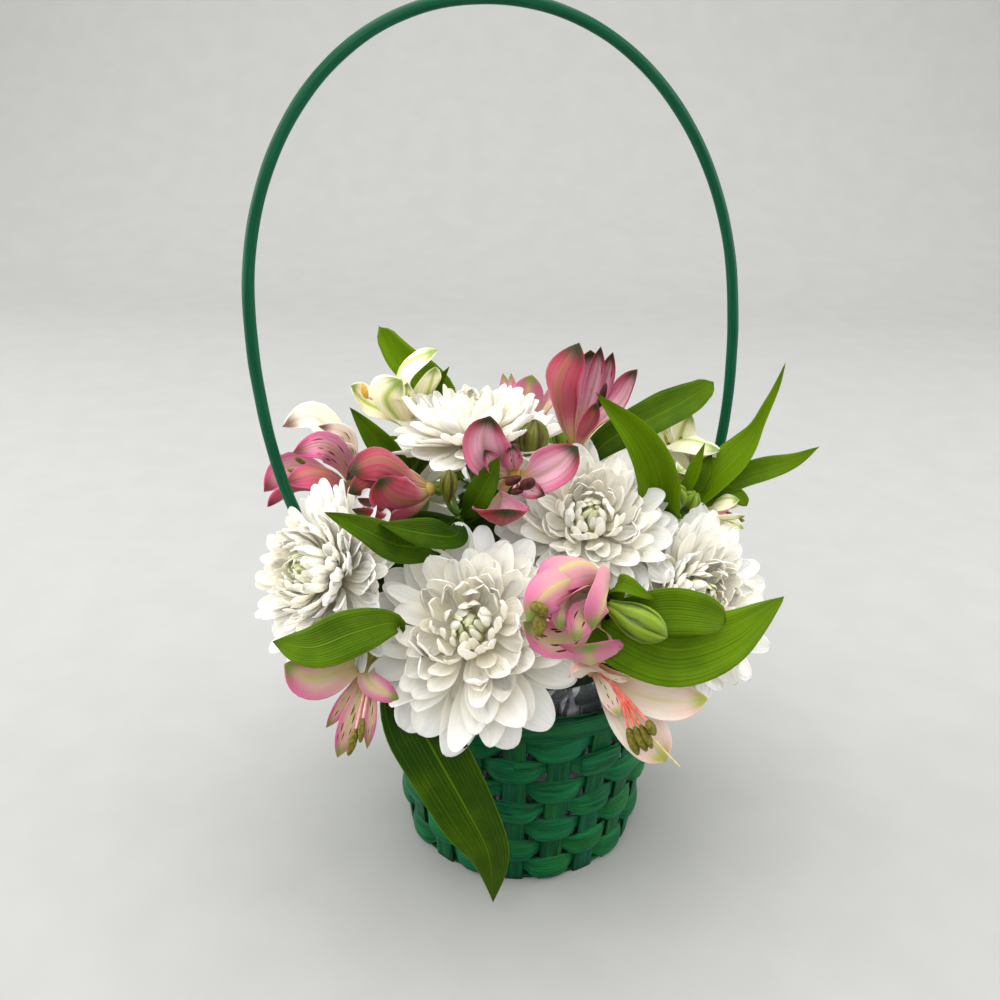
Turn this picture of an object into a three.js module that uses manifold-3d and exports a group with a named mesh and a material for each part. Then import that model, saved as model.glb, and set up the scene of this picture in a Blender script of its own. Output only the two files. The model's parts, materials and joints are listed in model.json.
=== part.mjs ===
// A round woven chip-wood basket with a tall cane handle, filled with floral foam that holds
// white chrysanthemums, peruvian lilies and their leaves.
// Millimetres, +Z up. The origin is the centre of the basket's underside and -Y is its front.
import * as THREE from "three";
import { mergeVertices } from "three/addons/utils/BufferGeometryUtils.js";
import Module from "manifold-3d";

const wasm = await Module();
wasm.setup();

// ---------------------------------------------------------------- driving dimensions
const GAP = 0.35; // clearance kept between pieces that touch

const BASKET = {
  baseRadius: 51.5, // middle of the stakes at the table
  rimRadius: 61.5, // middle of the stakes at the rim
  height: 90,
  baseThickness: 1.6,
  stakes: 20,
  stakeWidth: 10,
  stakeThickness: 1,
  firstStake: -94.6, // degrees about Z
};
const WEAVER = {
  rows: 7,
  height: 10.7,
  pitch: 11.3,
  thickness: 1.2,
  swing: 1.9, // how far a strip passes outside or inside the middle of the stakes
  bearing: 0.6, // how far a strip runs straight past each edge of a stake
  firstZ: 7.6,
};
const HOOP = { height: 8, thickness: 1.2, outerPlay: 0.25, segments: 30 };
const HANDLE = {
  radius: 2.3,
  sides: 7,
  steps: 36,
  top: 350, // height of the arch's middle line
  halfWidth: 98.8, // at its widest
  widestZ: 228,
  archPower: 2.08, // superellipse of the upper half
  taperPower: 2.5, // how the legs draw in below the widest height
  footZ: 42,
  legGap: 1, // between the legs and the inside of the weave
  turn: THREE.MathUtils.degToRad(17.9), // about Z: the left leg stands forward
  lean: -0.076, // sideways shift for each mm above the rim
};
const FOAM = {
  bottom: 2.7,
  shoulderZ: 96,
  crownZ: 113,
  top: 117,
  topRadius: 33,
  play: 0.6, // between the block and the film
  segments: 20,
};
const LINER = {
  thickness: 0.8,
  floorThickness: 0.6,
  play: 0.9, // between the film and the handle's legs
  bottom: 1.95,
  top: 101,
  flare: 5,
  ruffle: 1.6,
  folds: 6,
  segments: 24,
};

const BLOOM = {
  petalThickness: 0.95,
  coreSides: 6,
  coreShare: 0.24, // radius of the heart, as a share of the bloom's
  stemRadius: 2,
  coreDepth: 4, // of the heart below the point that its petals spring from
  stemFootZ: 84,
  stemFootShare: 0.35, // how far out the stem's foot stands, as a share of the bloom's
  calyxFoot: 2.8,
  calyxRadius: 7.5,
  calyxHeight: 6,
};
const FLORET = {
  tubeRadius: 3.1,
  tubeLength: 7,
  tepalThickness: 0.9,
  filamentRadius: 0.75,
  antherRadius: 1.5,
};
const SPRIG = {
  stemRadius: 1.7,
  pedicelRadius: 1.15,
  ovaryRadius: 2.7,
  ovaryLength: 6,
  leafThickness: 0.8,
  leafFold: 0.14, // how far a leaf's edges stand above its midrib, as a share of its width
};

// Where each white bloom's petals spring from, the way it looks and how far it opens.
const BLOOMS = [
  {
    name: "bloom_front",
    heart: [-22, -59.5, 129.5],
    facing: [-0.1, -0.76, 0.64],
    radius: 42,
    rings: [11, 10, 8, 6, 3],
  },
  {
    name: "bloom_centre_right",
    heart: [23, -24, 158],
    facing: [0, -0.62, 0.78],
    radius: 35,
    rings: [9, 8, 6, 3],
  },
  {
    name: "bloom_right",
    heart: [63, -29, 128],
    facing: [0.42, -0.72, 0.55],
    radius: 39,
    rings: [9, 8, 6, 3],
  },
  {
    name: "bloom_left",
    heart: [-77.5, -44, 145],
    facing: [-0.7, -0.55, 0.45],
    radius: 36,
    rings: [9, 8, 6, 3],
  },
  {
    name: "bloom_top",
    heart: [-24, 9, 181],
    facing: [-0.03, 0.12, 0.99],
    radius: 37,
    rings: [9, 8, 6, 3],
  },
  {
    name: "bloom_back_left",
    heart: [-54, 44, 138],
    facing: [-0.55, 0.7, 0.46],
    radius: 35,
    rings: [8, 7, 5],
  },
  {
    name: "bloom_back_right",
    heart: [50, 48, 140],
    facing: [0.5, 0.68, 0.54],
    radius: 35,
    rings: [8, 7, 5],
  },
  {
    name: "bloom_back",
    heart: [-2, 66, 124],
    facing: [0, 0.86, 0.5],
    radius: 35,
    rings: [8, 7, 5],
  },
];

// Flower kinds of the peruvian lilies: how far the tepals open, in degrees from the flower's axis.
const OPEN = { start: 14, outer: 58, inner: 46 };
const HALF_OPEN = { start: 20, outer: 24, inner: 20 };
const CLOSED = { start: 34, outer: -6, inner: 4 };
const GLOBE = { start: 50, outer: -30, inner: -18 };

// Each leafy stem: its route from the foam to its crown, then what grows on it.
const SPRIGS = [
  {
    name: "sprig_left_low",
    route: [[-25, -30, 84], [-28, -34, 98], [-36, -43, 111], [-50, -59, 118]],
    florets: [
      {
        name: "floret_left_low",
        base: [-60, -61, 120],
        axis: [-0.3, -0.85, -0.42],
        size: 38,
        kind: OPEN,
        turn: 0,
      },
    ],
    leaves: [
      {
        spine: [[-49, -66, 101], [-40, -76, 86], [-28, -82, 64], [-18, -82, 42], [-12, -78, 12]],
        width: 31,
        face: [-0.25, -0.9, 0.35],
      },
      {
        spine: [[-56, -70, 138], [-75, -72, 133], [-99, -60, 121]],
        width: 17,
        face: [-0.1, -0.5, 0.86],
      },
    ],
    buds: [],
  },
  {
    name: "sprig_right_low",
    route: [[15, -36, 84], [17, -39, 98], [21, -54, 122], [27, -66, 140]],
    florets: [
      {
        name: "floret_front",
        base: [25, -76, 155],
        axis: [-0.62, -0.76, 0.18],
        size: 41,
        kind: GLOBE,
        turn: 0,
      },
      {
        name: "floret_right_low",
        base: [22, -72, 125],
        axis: [0.38, -0.76, -0.53],
        size: 43,
        kind: OPEN,
        turn: 50,
      },
    ],
    leaves: [
      {
        spine: [[36, -80, 147], [52, -86, 143], [72, -78, 140], [94, -62, 149]],
        width: 27,
        face: [0.1, -0.72, 0.68],
      },
    ],
    buds: [{ base: [33, -80, 155], tip: [47, -92, 153], radius: 6 }],
  },
  {
    name: "sprig_centre",
    route: [[-19, -15, 84], [-21, -18, 110], [-26, -25, 150], [-29, -28, 164]],
    florets: [
      {
        name: "floret_centre_left",
        base: [-39, -24, 173],
        axis: [-0.72, -0.66, 0.2],
        size: 36,
        kind: CLOSED,
        turn: 15,
      },
      {
        name: "floret_centre",
        base: [-7, -20, 178],
        axis: [0.12, -0.87, 0.48],
        size: 34,
        kind: OPEN,
        turn: 8,
      },
    ],
    leaves: [
      {
        spine: [[-40, -42, 165], [-56, -46, 166], [-79, -40, 169]],
        width: 13,
        face: [0, -0.35, 0.94],
      },
      {
        spine: [[-22, -34, 172], [-16, -33, 182], [-13, -30, 190]],
        width: 11,
        face: [-0.3, -0.9, 0.2],
      },
    ],
    buds: [
      { base: [-3, -8, 180], tip: [1, -5, 199], radius: 6 },
      { base: [-32, -31, 171], tip: [-33, -33, 181], radius: 3 },
    ],
  },
  {
    name: "sprig_top_right",
    route: [[6, 3, 84], [8, 4, 110], [13, 2, 150], [16, 0, 168]],
    florets: [
      {
        name: "floret_top_right",
        base: [18, -2, 181],
        axis: [0.16, 0.04, 0.98],
        size: 45,
        kind: HALF_OPEN,
        turn: 5,
      },
    ],
    leaves: [
      {
        spine: [[30, 6, 181], [50, 12, 193], [75, 20, 205]],
        width: 14,
        face: [-0.35, -0.6, 0.72],
      },
    ],
    buds: [],
  },
  {
    name: "sprig_right",
    route: [[29, 1, 84], [34, 0, 100], [48, -2, 134], [61, -4, 156]],
    florets: [
      {
        name: "floret_right_back",
        base: [72, 18, 156],
        axis: [-0.5, 0.35, 0.8],
        size: 34,
        kind: HALF_OPEN,
        turn: 0,
      },
      {
        name: "floret_far_right",
        base: [72, 4, 149],
        axis: [0.93, 0.3, 0.14],
        size: 27,
        kind: HALF_OPEN,
        turn: 30,
      },
    ],
    leaves: [
      {
        spine: [[56, -13, 170], [45, -18, 192], [24, -22, 212]],
        width: 18,
        face: [-0.3, -0.85, 0.3],
      },
      {
        spine: [[78, 0, 178], [94, 5, 196], [102, 10, 215]],
        width: 16,
        face: [-0.5, -0.8, 0.3],
      },
      {
        spine: [[82, 7, 164], [101, 10, 171], [122, 12, 179]],
        width: 11,
        face: [-0.2, -0.7, 0.7],
      },
      {
        spine: [[66, 5, 166], [73, 12, 181]],
        width: 7,
        face: [-0.6, -0.7, 0.2],
      },
    ],
    buds: [
      { base: [61, -9, 163], tip: [59, -13, 172], radius: 4 },
      { base: [64, -8, 161], tip: [67, -13, 166], radius: 3.6 },
    ],
  },
  {
    name: "sprig_left_back",
    route: [[-25, 7, 84], [-30, 8, 104], [-46, 9, 138], [-57, 9, 154]],
    florets: [
      {
        name: "floret_left_back",
        base: [-72, 1, 156],
        axis: [-0.78, 0.2, 0.6],
        size: 41,
        kind: OPEN,
        turn: 10,
      },
      {
        name: "floret_top_left",
        base: [-49, 27, 177],
        axis: [-0.3, -0.1, 0.95],
        size: 41,
        kind: OPEN,
        turn: 50,
      },
    ],
    leaves: [
      {
        spine: [[-58, -2, 174], [-66, 0, 186], [-75, 2, 197]],
        width: 10,
        face: [0.3, -0.9, 0.3],
      },
    ],
    buds: [],
  },
  {
    name: "sprig_back_left",
    route: [[-15, 30, 84], [-16, 33, 100], [-20, 42, 124], [-24, 52, 140]],
    florets: [
      {
        name: "floret_back_left",
        base: [-33, 64, 142],
        axis: [-0.35, 0.8, 0.48],
        size: 40,
        kind: OPEN,
        turn: 0,
      },
      {
        name: "floret_back_top",
        base: [-6, 52, 160],
        axis: [0.2, 0.5, 0.84],
        size: 36,
        kind: HALF_OPEN,
        turn: 30,
      },
    ],
    leaves: [
      {
        spine: [[-44, 66, 150], [-60, 76, 154], [-78, 82, 148]],
        width: 14,
        face: [-0.2, 0.4, 0.9],
      },
      {
        spine: [[-34, 54, 178], [-47, 52, 194], [-57, 49, 206], [-67, 47, 219]],
        width: 13,
        face: [-0.5, -0.8, 0.1],
      },
    ],
    buds: [{ base: [-24, 60, 152], tip: [-26, 70, 168], radius: 5.5 }],
  },
  {
    name: "sprig_back_right",
    route: [[16, 30, 84], [17, 33, 100], [20, 42, 122], [23, 52, 138]],
    florets: [
      {
        name: "floret_back_right",
        base: [30, 64, 142],
        axis: [0.4, 0.8, 0.44],
        size: 40,
        kind: OPEN,
        turn: 25,
      },
    ],
    leaves: [
      {
        spine: [[34, 60, 158], [46, 70, 170], [60, 80, 172]],
        width: 15,
        face: [0, 0.3, 0.95],
      },
      {
        spine: [[14, 72, 152], [6, 86, 154], [-2, 100, 146]],
        width: 14,
        face: [0, 0.6, 0.8],
      },
    ],
    buds: [{ base: [18, 58, 154], tip: [15, 64, 170], radius: 5.5 }],
  },
  {
    name: "sprig_back_low",
    route: [[34, 25, 84], [36, 27, 98], [48, 38, 110], [58, 46, 114]],
    florets: [
      {
        name: "floret_back_low",
        base: [67, 54, 115],
        axis: [0.66, 0.62, -0.42],
        size: 42,
        kind: OPEN,
        turn: 0,
      },
    ],
    leaves: [
      {
        spine: [[66, 38, 108], [76, 26, 92], [79, 14, 68], [77, 6, 46]],
        width: 22,
        face: [0.85, 0.4, 0.35],
      },
      {
        spine: [[48, 66, 112], [36, 80, 98], [28, 84, 76]],
        width: 20,
        face: [0.3, 0.85, 0.4],
      },
    ],
    buds: [],
  },
];

const COLOUR = {
  chip: 0x14603a,
  cane: 0x0f5a38,
  foam: 0x1d4a2c,
  film: 0xcfd2dc,
  white: 0xf6f2e6,
  stem: 0x5d8a2c,
  leaf: 0x3f7d14,
};
const FLORET_COLOUR = {
  floret_left_low: 0xe9c3cc,
  floret_front: 0xe79ab4,
  floret_right_low: 0xf5e9e2,
  floret_centre_left: 0xcf6a8d,
  floret_centre: 0xd8688f,
  floret_top_right: 0xcb6480,
  floret_right_back: 0xeef0cf,
  floret_far_right: 0xf3f2e4,
  floret_left_back: 0xdf93a8,
  floret_top_left: 0xf4ecc6,
  floret_back_left: 0xd8688f,
  floret_back_top: 0xf0cfd4,
  floret_back_right: 0xf4ecc6,
  floret_back_low: 0xd97c9a,
};

// ---------------------------------------------------------------- geometry and solids
const v = (x, y, z) => new THREE.Vector3(x, y, z);
const vec = (a) => new THREE.Vector3(...a);
const { degToRad, lerp } = THREE.MathUtils;

/** A repeatable stream of numbers from 0 to 1. */
function randomFrom(seed) {
  let state = seed;
  return () => {
    state = (state * 1664525 + 1013904223) % 4294967296;
    return state / 4294967296;
  };
}

/** The manifold solid of a closed geometry, turned to face outwards. */
function solidOf(geometry) {
  const bare = new THREE.BufferGeometry();
  bare.setAttribute("position", geometry.getAttribute("position"));
  if (geometry.index) bare.setIndex(geometry.index);
  const merged = mergeVertices(bare, 1e-3);
  const vertProperties = Float32Array.from(merged.getAttribute("position").array);
  const triVerts = Uint32Array.from(merged.index.array);
  const make = () => new wasm.Manifold(new wasm.Mesh({ numProp: 3, vertProperties, triVerts }));
  const solid = make();
  if (solid.volume() >= 0) return solid;
  for (let i = 0; i < triVerts.length; i += 3) {
    [triVerts[i + 1], triVerts[i + 2]] = [triVerts[i + 2], triVerts[i + 1]];
  }
  return make();
}

/** A three.js geometry of a manifold solid. */
function geometryOf(solid) {
  const mesh = solid.getMesh();
  const positions = new Float32Array(mesh.numVert * 3);
  for (let i = 0; i < mesh.numVert; i += 1) {
    positions.set(mesh.vertProperties.subarray(i * mesh.numProp, i * mesh.numProp + 3), i * 3);
  }
  const geometry = new THREE.BufferGeometry();
  geometry.setAttribute("position", new THREE.BufferAttribute(positions, 3));
  geometry.setIndex(new THREE.BufferAttribute(mesh.triVerts, 1));
  geometry.computeVertexNormals();
  return geometry;
}

const joined = (solids) => solids.reduce((sum, solid) => sum.add(solid));

/**
 * A closed skin over loops of equally many points. An end is a flat fan, or runs to a tip point.
 * Neighbouring sides are split along opposite diagonals, so both faces of a blade fold alike.
 */
function loft(loops, { startTip = null, endTip = null, ring = false } = {}) {
  const points = loops.flat();
  const n = loops[0].length;
  const index = [];
  const count = ring ? loops.length : loops.length - 1;
  for (let i = 0; i < count; i += 1) {
    const lower = i * n;
    const upper = ((i + 1) % loops.length) * n;
    for (let j = 0; j < n; j += 1) {
      const a = lower + j;
      const b = lower + ((j + 1) % n);
      const c = upper + ((j + 1) % n);
      const d = upper + j;
      if (j % 2) index.push(a, b, c, a, c, d);
      else index.push(a, b, d, b, c, d);
    }
  }
  const close = (first, tip, outward) => {
    const add = (a, b, c) => (outward ? index.push(a, b, c) : index.push(a, c, b));
    if (tip) {
      points.push(tip);
      for (let j = 0; j < n; j += 1) add(first + j, first + ((j + 1) % n), points.length - 1);
    } else for (let j = 1; j < n - 1; j += 1) add(first, first + j, first + j + 1);
  };
  if (!ring) {
    close(0, startTip, false);
    close((loops.length - 1) * n, endTip, true);
  }
  return new THREE.BufferGeometry().setFromPoints(points).setIndex(index);
}

/** The four corners of a blade's section: inner middle, left edge, outer middle, right edge. */
function bladeSection(centre, across, face, halfWidth, cup, thickness) {
  const raised = centre.clone().addScaledVector(face, cup);
  const edge = (side) => raised.clone().addScaledVector(across, side * halfWidth);
  return [
    centre.clone().addScaledVector(face, thickness / 2),
    edge(-1),
    centre.clone().addScaledVector(face, -thickness / 2),
    edge(1),
  ];
}

/**
 * A petal in its own frame: it leaves the origin along +X and its inner face looks along +Z.
 * Its angle above +X runs from `rise` to `rise + bend` degrees; `outline` lists [share of
 * length, share of width] for each station between its pointed ends.
 */
function petal({ length, width, rise, bend, cup, thickness, outline }, swell = 0) {
  const across = v(0, 1, 0);
  const steps = 24;
  const spine = [v(0, 0, 0)];
  const angleAt = (share) => degToRad(rise + bend * share);
  const stride = (length + swell) / steps;
  for (let i = 1; i <= steps; i += 1) {
    const angle = angleAt((i - 0.5) / steps);
    const ahead = v(Math.cos(angle), 0, Math.sin(angle));
    spine.push(spine[i - 1].clone().addScaledVector(ahead, stride));
  }
  const loops = outline.map(([along, wide]) => {
    const angle = angleAt(along);
    const face = v(-Math.sin(angle), 0, Math.cos(angle));
    const centre = spine[Math.round(along * steps)];
    const full = wide * width;
    return bladeSection(centre, across, face, full / 2 + swell, cup * full, thickness + 2 * swell);
  });
  return loft(loops, { startTip: spine[0], endTip: spine[steps] });
}

/** A rod with flat ends along a curve. */
function rod(curve, radius, sides, steps) {
  const corners = [];
  for (let i = 0; i < sides; i += 1) {
    const angle = (i * 2 * Math.PI) / sides;
    corners.push(new THREE.Vector2(radius * Math.cos(angle), radius * Math.sin(angle)));
  }
  const options = { steps, extrudePath: curve, bevelEnabled: false };
  return new THREE.ExtrudeGeometry(new THREE.Shape(corners), options);
}

/** A surface of revolution about +Z from [radius, height] pairs. */
function turned(profile, segments) {
  const points = profile.map(([radius, z]) => new THREE.Vector2(radius, z));
  return new THREE.LatheGeometry(points, segments).rotateX(Math.PI / 2);
}

/** The matrix that carries +Z to `axis` and the origin to `origin`, after a turn in degrees about +Z. */
function frameAlong(origin, axis, turn = 0) {
  const tilt = new THREE.Quaternion().setFromUnitVectors(v(0, 0, 1), axis.clone().normalize());
  const spin = new THREE.Quaternion().setFromAxisAngle(v(0, 0, 1), degToRad(turn));
  return new THREE.Matrix4().compose(origin, tilt.multiply(spin), v(1, 1, 1));
}

// ---------------------------------------------------------------- keeping pieces clear
const TOUCH = 1e-4; // cubic millimetres that two pieces may share and still count as apart
const obstacles = []; // { owner, solid, box } of everything already in place

function boxOf(solid) {
  const { min, max } = solid.boundingBox();
  return new THREE.Box3(vec(min), vec(max));
}

function occupy(owner, solid) {
  obstacles.push({ owner, solid, box: boxOf(solid) });
}

function isClear(owner, solid) {
  const box = boxOf(solid);
  const meets = (other) => other.box.intersectsBox(box) && other.solid.intersect(solid).volume() > TOUCH;
  return !obstacles.some((other) => other.owner !== owner && meets(other));
}

/** The first candidate whose swollen form clears every other piece, already in place; null if none does. */
function settle(owner, candidates, build) {
  for (const candidate of candidates) {
    const swollen = solidOf(build(candidate, GAP));
    if (!isClear(owner, swollen)) continue;
    const solid = solidOf(build(candidate, 0));
    occupy(owner, solid);
    return solid;
  }
  return null;
}

// ---------------------------------------------------------------- scene
const arrangement = new THREE.Group();

function addPiece(name, solid, colour, roughness) {
  const material = new THREE.MeshStandardMaterial({ color: colour, roughness, metalness: 0 });
  const mesh = new THREE.Mesh(geometryOf(solid), material);
  mesh.name = name;
  arrangement.add(mesh);
}

// ---------------------------------------------------------------- basket
/** Radius of the middle of the stakes at a height. */
const wallRadius = (z) => lerp(BASKET.baseRadius, BASKET.rimRadius, z / BASKET.height);
const stakeAngle = (k) => degToRad(BASKET.firstStake) + (k * 2 * Math.PI) / BASKET.stakes;

/** The round base board with the upright stakes that rise from its edge. */
function basketFrame() {
  const corner = BASKET.baseRadius / Math.cos(Math.PI / BASKET.stakes);
  const top = BASKET.baseThickness;
  const board = turned([[0, 0], [corner, 0], [corner, top], [0, top]], BASKET.stakes);
  board.rotateZ(stakeAngle(0.5));
  const solids = [solidOf(board)];
  const level = (z) => {
    const near = wallRadius(z) - BASKET.stakeThickness / 2;
    const far = wallRadius(z) + BASKET.stakeThickness / 2;
    const half = BASKET.stakeWidth / 2;
    return [v(near, -half, z), v(far, -half, z), v(far, half, z), v(near, half, z)];
  };
  for (let k = 0; k < BASKET.stakes; k += 1) {
    solids.push(solidOf(loft([level(0), level(BASKET.height - GAP)]).rotateZ(stakeAngle(k))));
  }
  return joined(solids);
}

/** One flat strip that runs round the wall, outside one stake and inside the next. */
function weaverRow(row) {
  const z = WEAVER.firstZ + row * WEAVER.pitch;
  const slope = (BASKET.rimRadius - BASKET.baseRadius) / BASKET.height;
  const halfStake = BASKET.stakeWidth / 2 + WEAVER.bearing;
  const loops = [];
  for (let k = 0; k < BASKET.stakes; k += 1) {
    const side = (k + row) % 2 ? 1 : -1;
    for (const offset of [-halfStake, halfStake]) {
      const middle = wallRadius(z) + side * WEAVER.swing;
      const angle = stakeAngle(k) + Math.atan2(offset, middle);
      const corner = (outward, up) => {
        const height = up * (WEAVER.height / 2);
        const radius = Math.hypot(middle, offset) + (outward * WEAVER.thickness) / 2 + height * slope;
        return v(radius * Math.cos(angle), radius * Math.sin(angle), z + height);
      };
      loops.push([corner(-1, -1), corner(1, -1), corner(1, 1), corner(-1, 1)]);
    }
  }
  return loft(loops, { ring: true });
}

/** A flat hoop that clamps the stakes' tops from outside (side 1) or inside (side -1). */
function rimHoop(side) {
  const near = BASKET.stakeThickness / 2 + GAP;
  const from = side > 0 ? near + HOOP.outerPlay : -near - HOOP.thickness;
  const to = from + HOOP.thickness;
  const low = BASKET.height - HOOP.height;
  return turned(
    [
      [wallRadius(low) + from, low],
      [wallRadius(low) + to, low],
      [wallRadius(BASKET.height) + to, BASKET.height],
      [wallRadius(BASKET.height) + from, BASKET.height],
      [wallRadius(low) + from, low],
    ],
    HOOP.segments,
  );
}

/** Radius of the free space inside the weave at a height. */
const insideRadius = (z) => wallRadius(z) - WEAVER.swing - WEAVER.thickness / 2 - GAP;

/** The bent cane: legs slide down inside the wall and the arch stands high above the flowers. */
function handleCurve() {
  const rimZ = BASKET.height + 4;
  const rimX = insideRadius(rimZ) - HANDLE.radius - HANDLE.legGap;
  const half = [];
  const legX = (z) => insideRadius(z) - HANDLE.radius - HANDLE.legGap;
  half.push([legX(HANDLE.footZ), HANDLE.footZ], [legX(66), 66]);
  for (const share of [1, 0.86, 0.72, 0.56, 0.4, 0.24, 0.1]) {
    const draw = (HANDLE.halfWidth - rimX) * share ** HANDLE.taperPower;
    half.push([HANDLE.halfWidth - draw, HANDLE.widestZ - (HANDLE.widestZ - rimZ) * share]);
  }
  for (const degrees of [0, 13, 26, 39, 52, 65, 78]) {
    const power = 2 / HANDLE.archPower;
    const x = HANDLE.halfWidth * Math.cos(degToRad(degrees)) ** power;
    const z = HANDLE.widestZ + (HANDLE.top - HANDLE.widestZ) * Math.sin(degToRad(degrees)) ** power;
    half.push([x, z]);
  }
  const place = ([x, z]) => {
    const shift = HANDLE.lean * Math.max(0, z - BASKET.height);
    return v(x * Math.cos(HANDLE.turn) + shift, x * Math.sin(HANDLE.turn), z);
  };
  const right = half.map(place);
  const left = half.map(([x, z]) => place([-x, z])).reverse();
  return new THREE.CatmullRomCurve3([...right, place([0, HANDLE.top]), ...left], false, "centripetal");
}

// ---------------------------------------------------------------- foam and its film liner
const linerRadius = (z) => insideRadius(z) - 2 * HANDLE.radius - HANDLE.legGap - LINER.play;

/** A thin cup round the foam whose free edge flares and ruffles above the rim. */
function filmLiner() {
  const heights = [LINER.bottom, BASKET.height, LINER.top];
  const edge = heights.length - 1;
  const loops = [];
  for (let i = 0; i < LINER.segments; i += 1) {
    const angle = (i * 2 * Math.PI) / LINER.segments;
    const at = (radius, z) => v(radius * Math.cos(angle), radius * Math.sin(angle), z);
    const besideLeg = Math.sin(angle - HANDLE.turn) ** 2;
    const wave = Math.sin(angle * LINER.folds) * LINER.ruffle * besideLeg;
    const outer = heights.map((z, k) => {
      const flare = k === edge ? LINER.flare * besideLeg + wave : 0;
      return [linerRadius(Math.min(z, BASKET.height)) + flare, z + (k === edge ? wave : 0)];
    });
    const inner = outer.map(([radius, z], k) => [
      radius - LINER.thickness,
      k === 0 ? z + LINER.floorThickness : z,
    ]);
    loops.push([...outer, ...inner.reverse()].map(([radius, z]) => at(radius, z)));
  }
  const wall = loft(loops, { ring: true });
  const { bottom, segments } = LINER;
  const top = bottom + LINER.floorThickness;
  const radius = linerRadius(bottom) - LINER.thickness / 2;
  const floor = turned([[0, bottom], [radius, bottom], [radius, top], [0, top]], segments);
  return solidOf(wall).add(solidOf(floor));
}

/** The wet foam block: it fills the liner and rises above the rim as a low dome. */
function foamBlock() {
  const side = (z) => linerRadius(Math.min(z, BASKET.height)) - LINER.thickness - FOAM.play;
  return turned(
    [
      [0, FOAM.bottom + GAP],
      [side(FOAM.bottom), FOAM.bottom + GAP],
      [side(FOAM.shoulderZ), FOAM.shoulderZ],
      [FOAM.topRadius, FOAM.crownZ],
      [0, FOAM.top],
    ],
    FOAM.segments,
  );
}

// ---------------------------------------------------------------- chrysanthemums
const PETAL_OUTLINE = { long: [[0.42, 0.58], [0.79, 1]], short: [[0.67, 1]] };

/** The green stem from the foam up to the cup that holds a bloom's petals. */
function bloomStem({ heart, facing }, swell = 0) {
  const top = vec(heart);
  const axis = vec(facing).normalize();
  const seat = top.clone().addScaledVector(axis, -BLOOM.coreDepth - BLOOM.calyxHeight);
  const out = BLOOM.stemFootShare;
  const foot = v(top.x * out, top.y * out, BLOOM.stemFootZ - swell);
  const bend = seat.clone().addScaledVector(axis, -16);
  const curve = new THREE.QuadraticBezierCurve3(foot, bend, seat.clone().addScaledVector(axis, 2));
  const stem = solidOf(rod(curve, BLOOM.stemRadius + swell, 5, 3));
  const calyx = turned(
    [
      [0, -swell],
      [BLOOM.calyxFoot + swell, -swell],
      [BLOOM.calyxRadius + swell, BLOOM.calyxHeight - 1],
      [0, BLOOM.calyxHeight - GAP],
    ],
    BLOOM.coreSides,
  ).applyMatrix4(frameAlong(seat, axis));
  return stem.add(solidOf(calyx));
}

/** The compact heart that a bloom's petals stand out of. */
function bloomCore({ heart, facing, radius }) {
  const wide = radius * BLOOM.coreShare;
  const profile = [
    [0, -BLOOM.coreDepth],
    [wide * 0.7, -BLOOM.coreDepth],
    [wide, 0],
    [wide * 0.72, radius * 0.22],
    [0, radius * 0.3],
  ];
  const core = turned(profile, BLOOM.coreSides);
  return solidOf(core.applyMatrix4(frameAlong(vec(heart), vec(facing))));
}

/** Petals in rings: the outermost lie flat and droop, each ring inside stands steeper and shorter. */
function bloomPetals(bloom, seed) {
  const random = randomFrom(seed);
  const frame = frameAlong(vec(bloom.heart), vec(bloom.facing));
  const petals = [];
  bloom.rings.forEach((count, ring) => {
    const inward = ring / (bloom.rings.length - 1);
    for (let i = 0; i < count; i += 1) {
      const azimuth = ((i + (ring % 2) * 0.5 + (random() - 0.5) * 0.24) * 360) / count;
      const spec = {
        length: bloom.radius * lerp(0.98, 0.42, inward) * (0.95 + random() * 0.1),
        width: bloom.radius * lerp(0.39, 0.15, inward),
        rise: lerp(-4, 62, inward) + (random() - 0.5) * 8,
        bend: lerp(-4, 34, inward),
        cup: 0.2,
        thickness: BLOOM.petalThickness,
        outline: ring < 1 ? PETAL_OUTLINE.long : PETAL_OUTLINE.short,
      };
      const sink = bloom.radius * lerp(0.12, 0.04, inward);
      const rootHeight = bloom.radius * lerp(-0.03, 0.2, inward);
      const build = ({ lift, shorten }, swell) =>
        petal({ ...spec, rise: spec.rise + lift, length: spec.length * shorten }, swell)
          .translate(sink, 0, rootHeight)
          .applyMatrix4(new THREE.Matrix4().makeRotationZ(degToRad(azimuth)))
          .applyMatrix4(frame);
      const settled = settle(bloom.name, BENDS, build);
      if (settled) petals.push(settled);
    }
  });
  return petals;
}

// How a petal gives way: lifted or lowered first, then shortened as well.
const BENDS = [];
for (const shorten of [1, 0.86, 0.72, 0.58, 0.46]) {
  for (const lift of [0, 8, -8, 16, -16, 26, -24, 36]) BENDS.push({ lift, shorten });
}

// ---------------------------------------------------------------- peruvian lilies
const TEPAL_OUTLINE = { outer: [[0.42, 0.58], [0.79, 1]], inner: [[0.67, 1]] };

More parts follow.
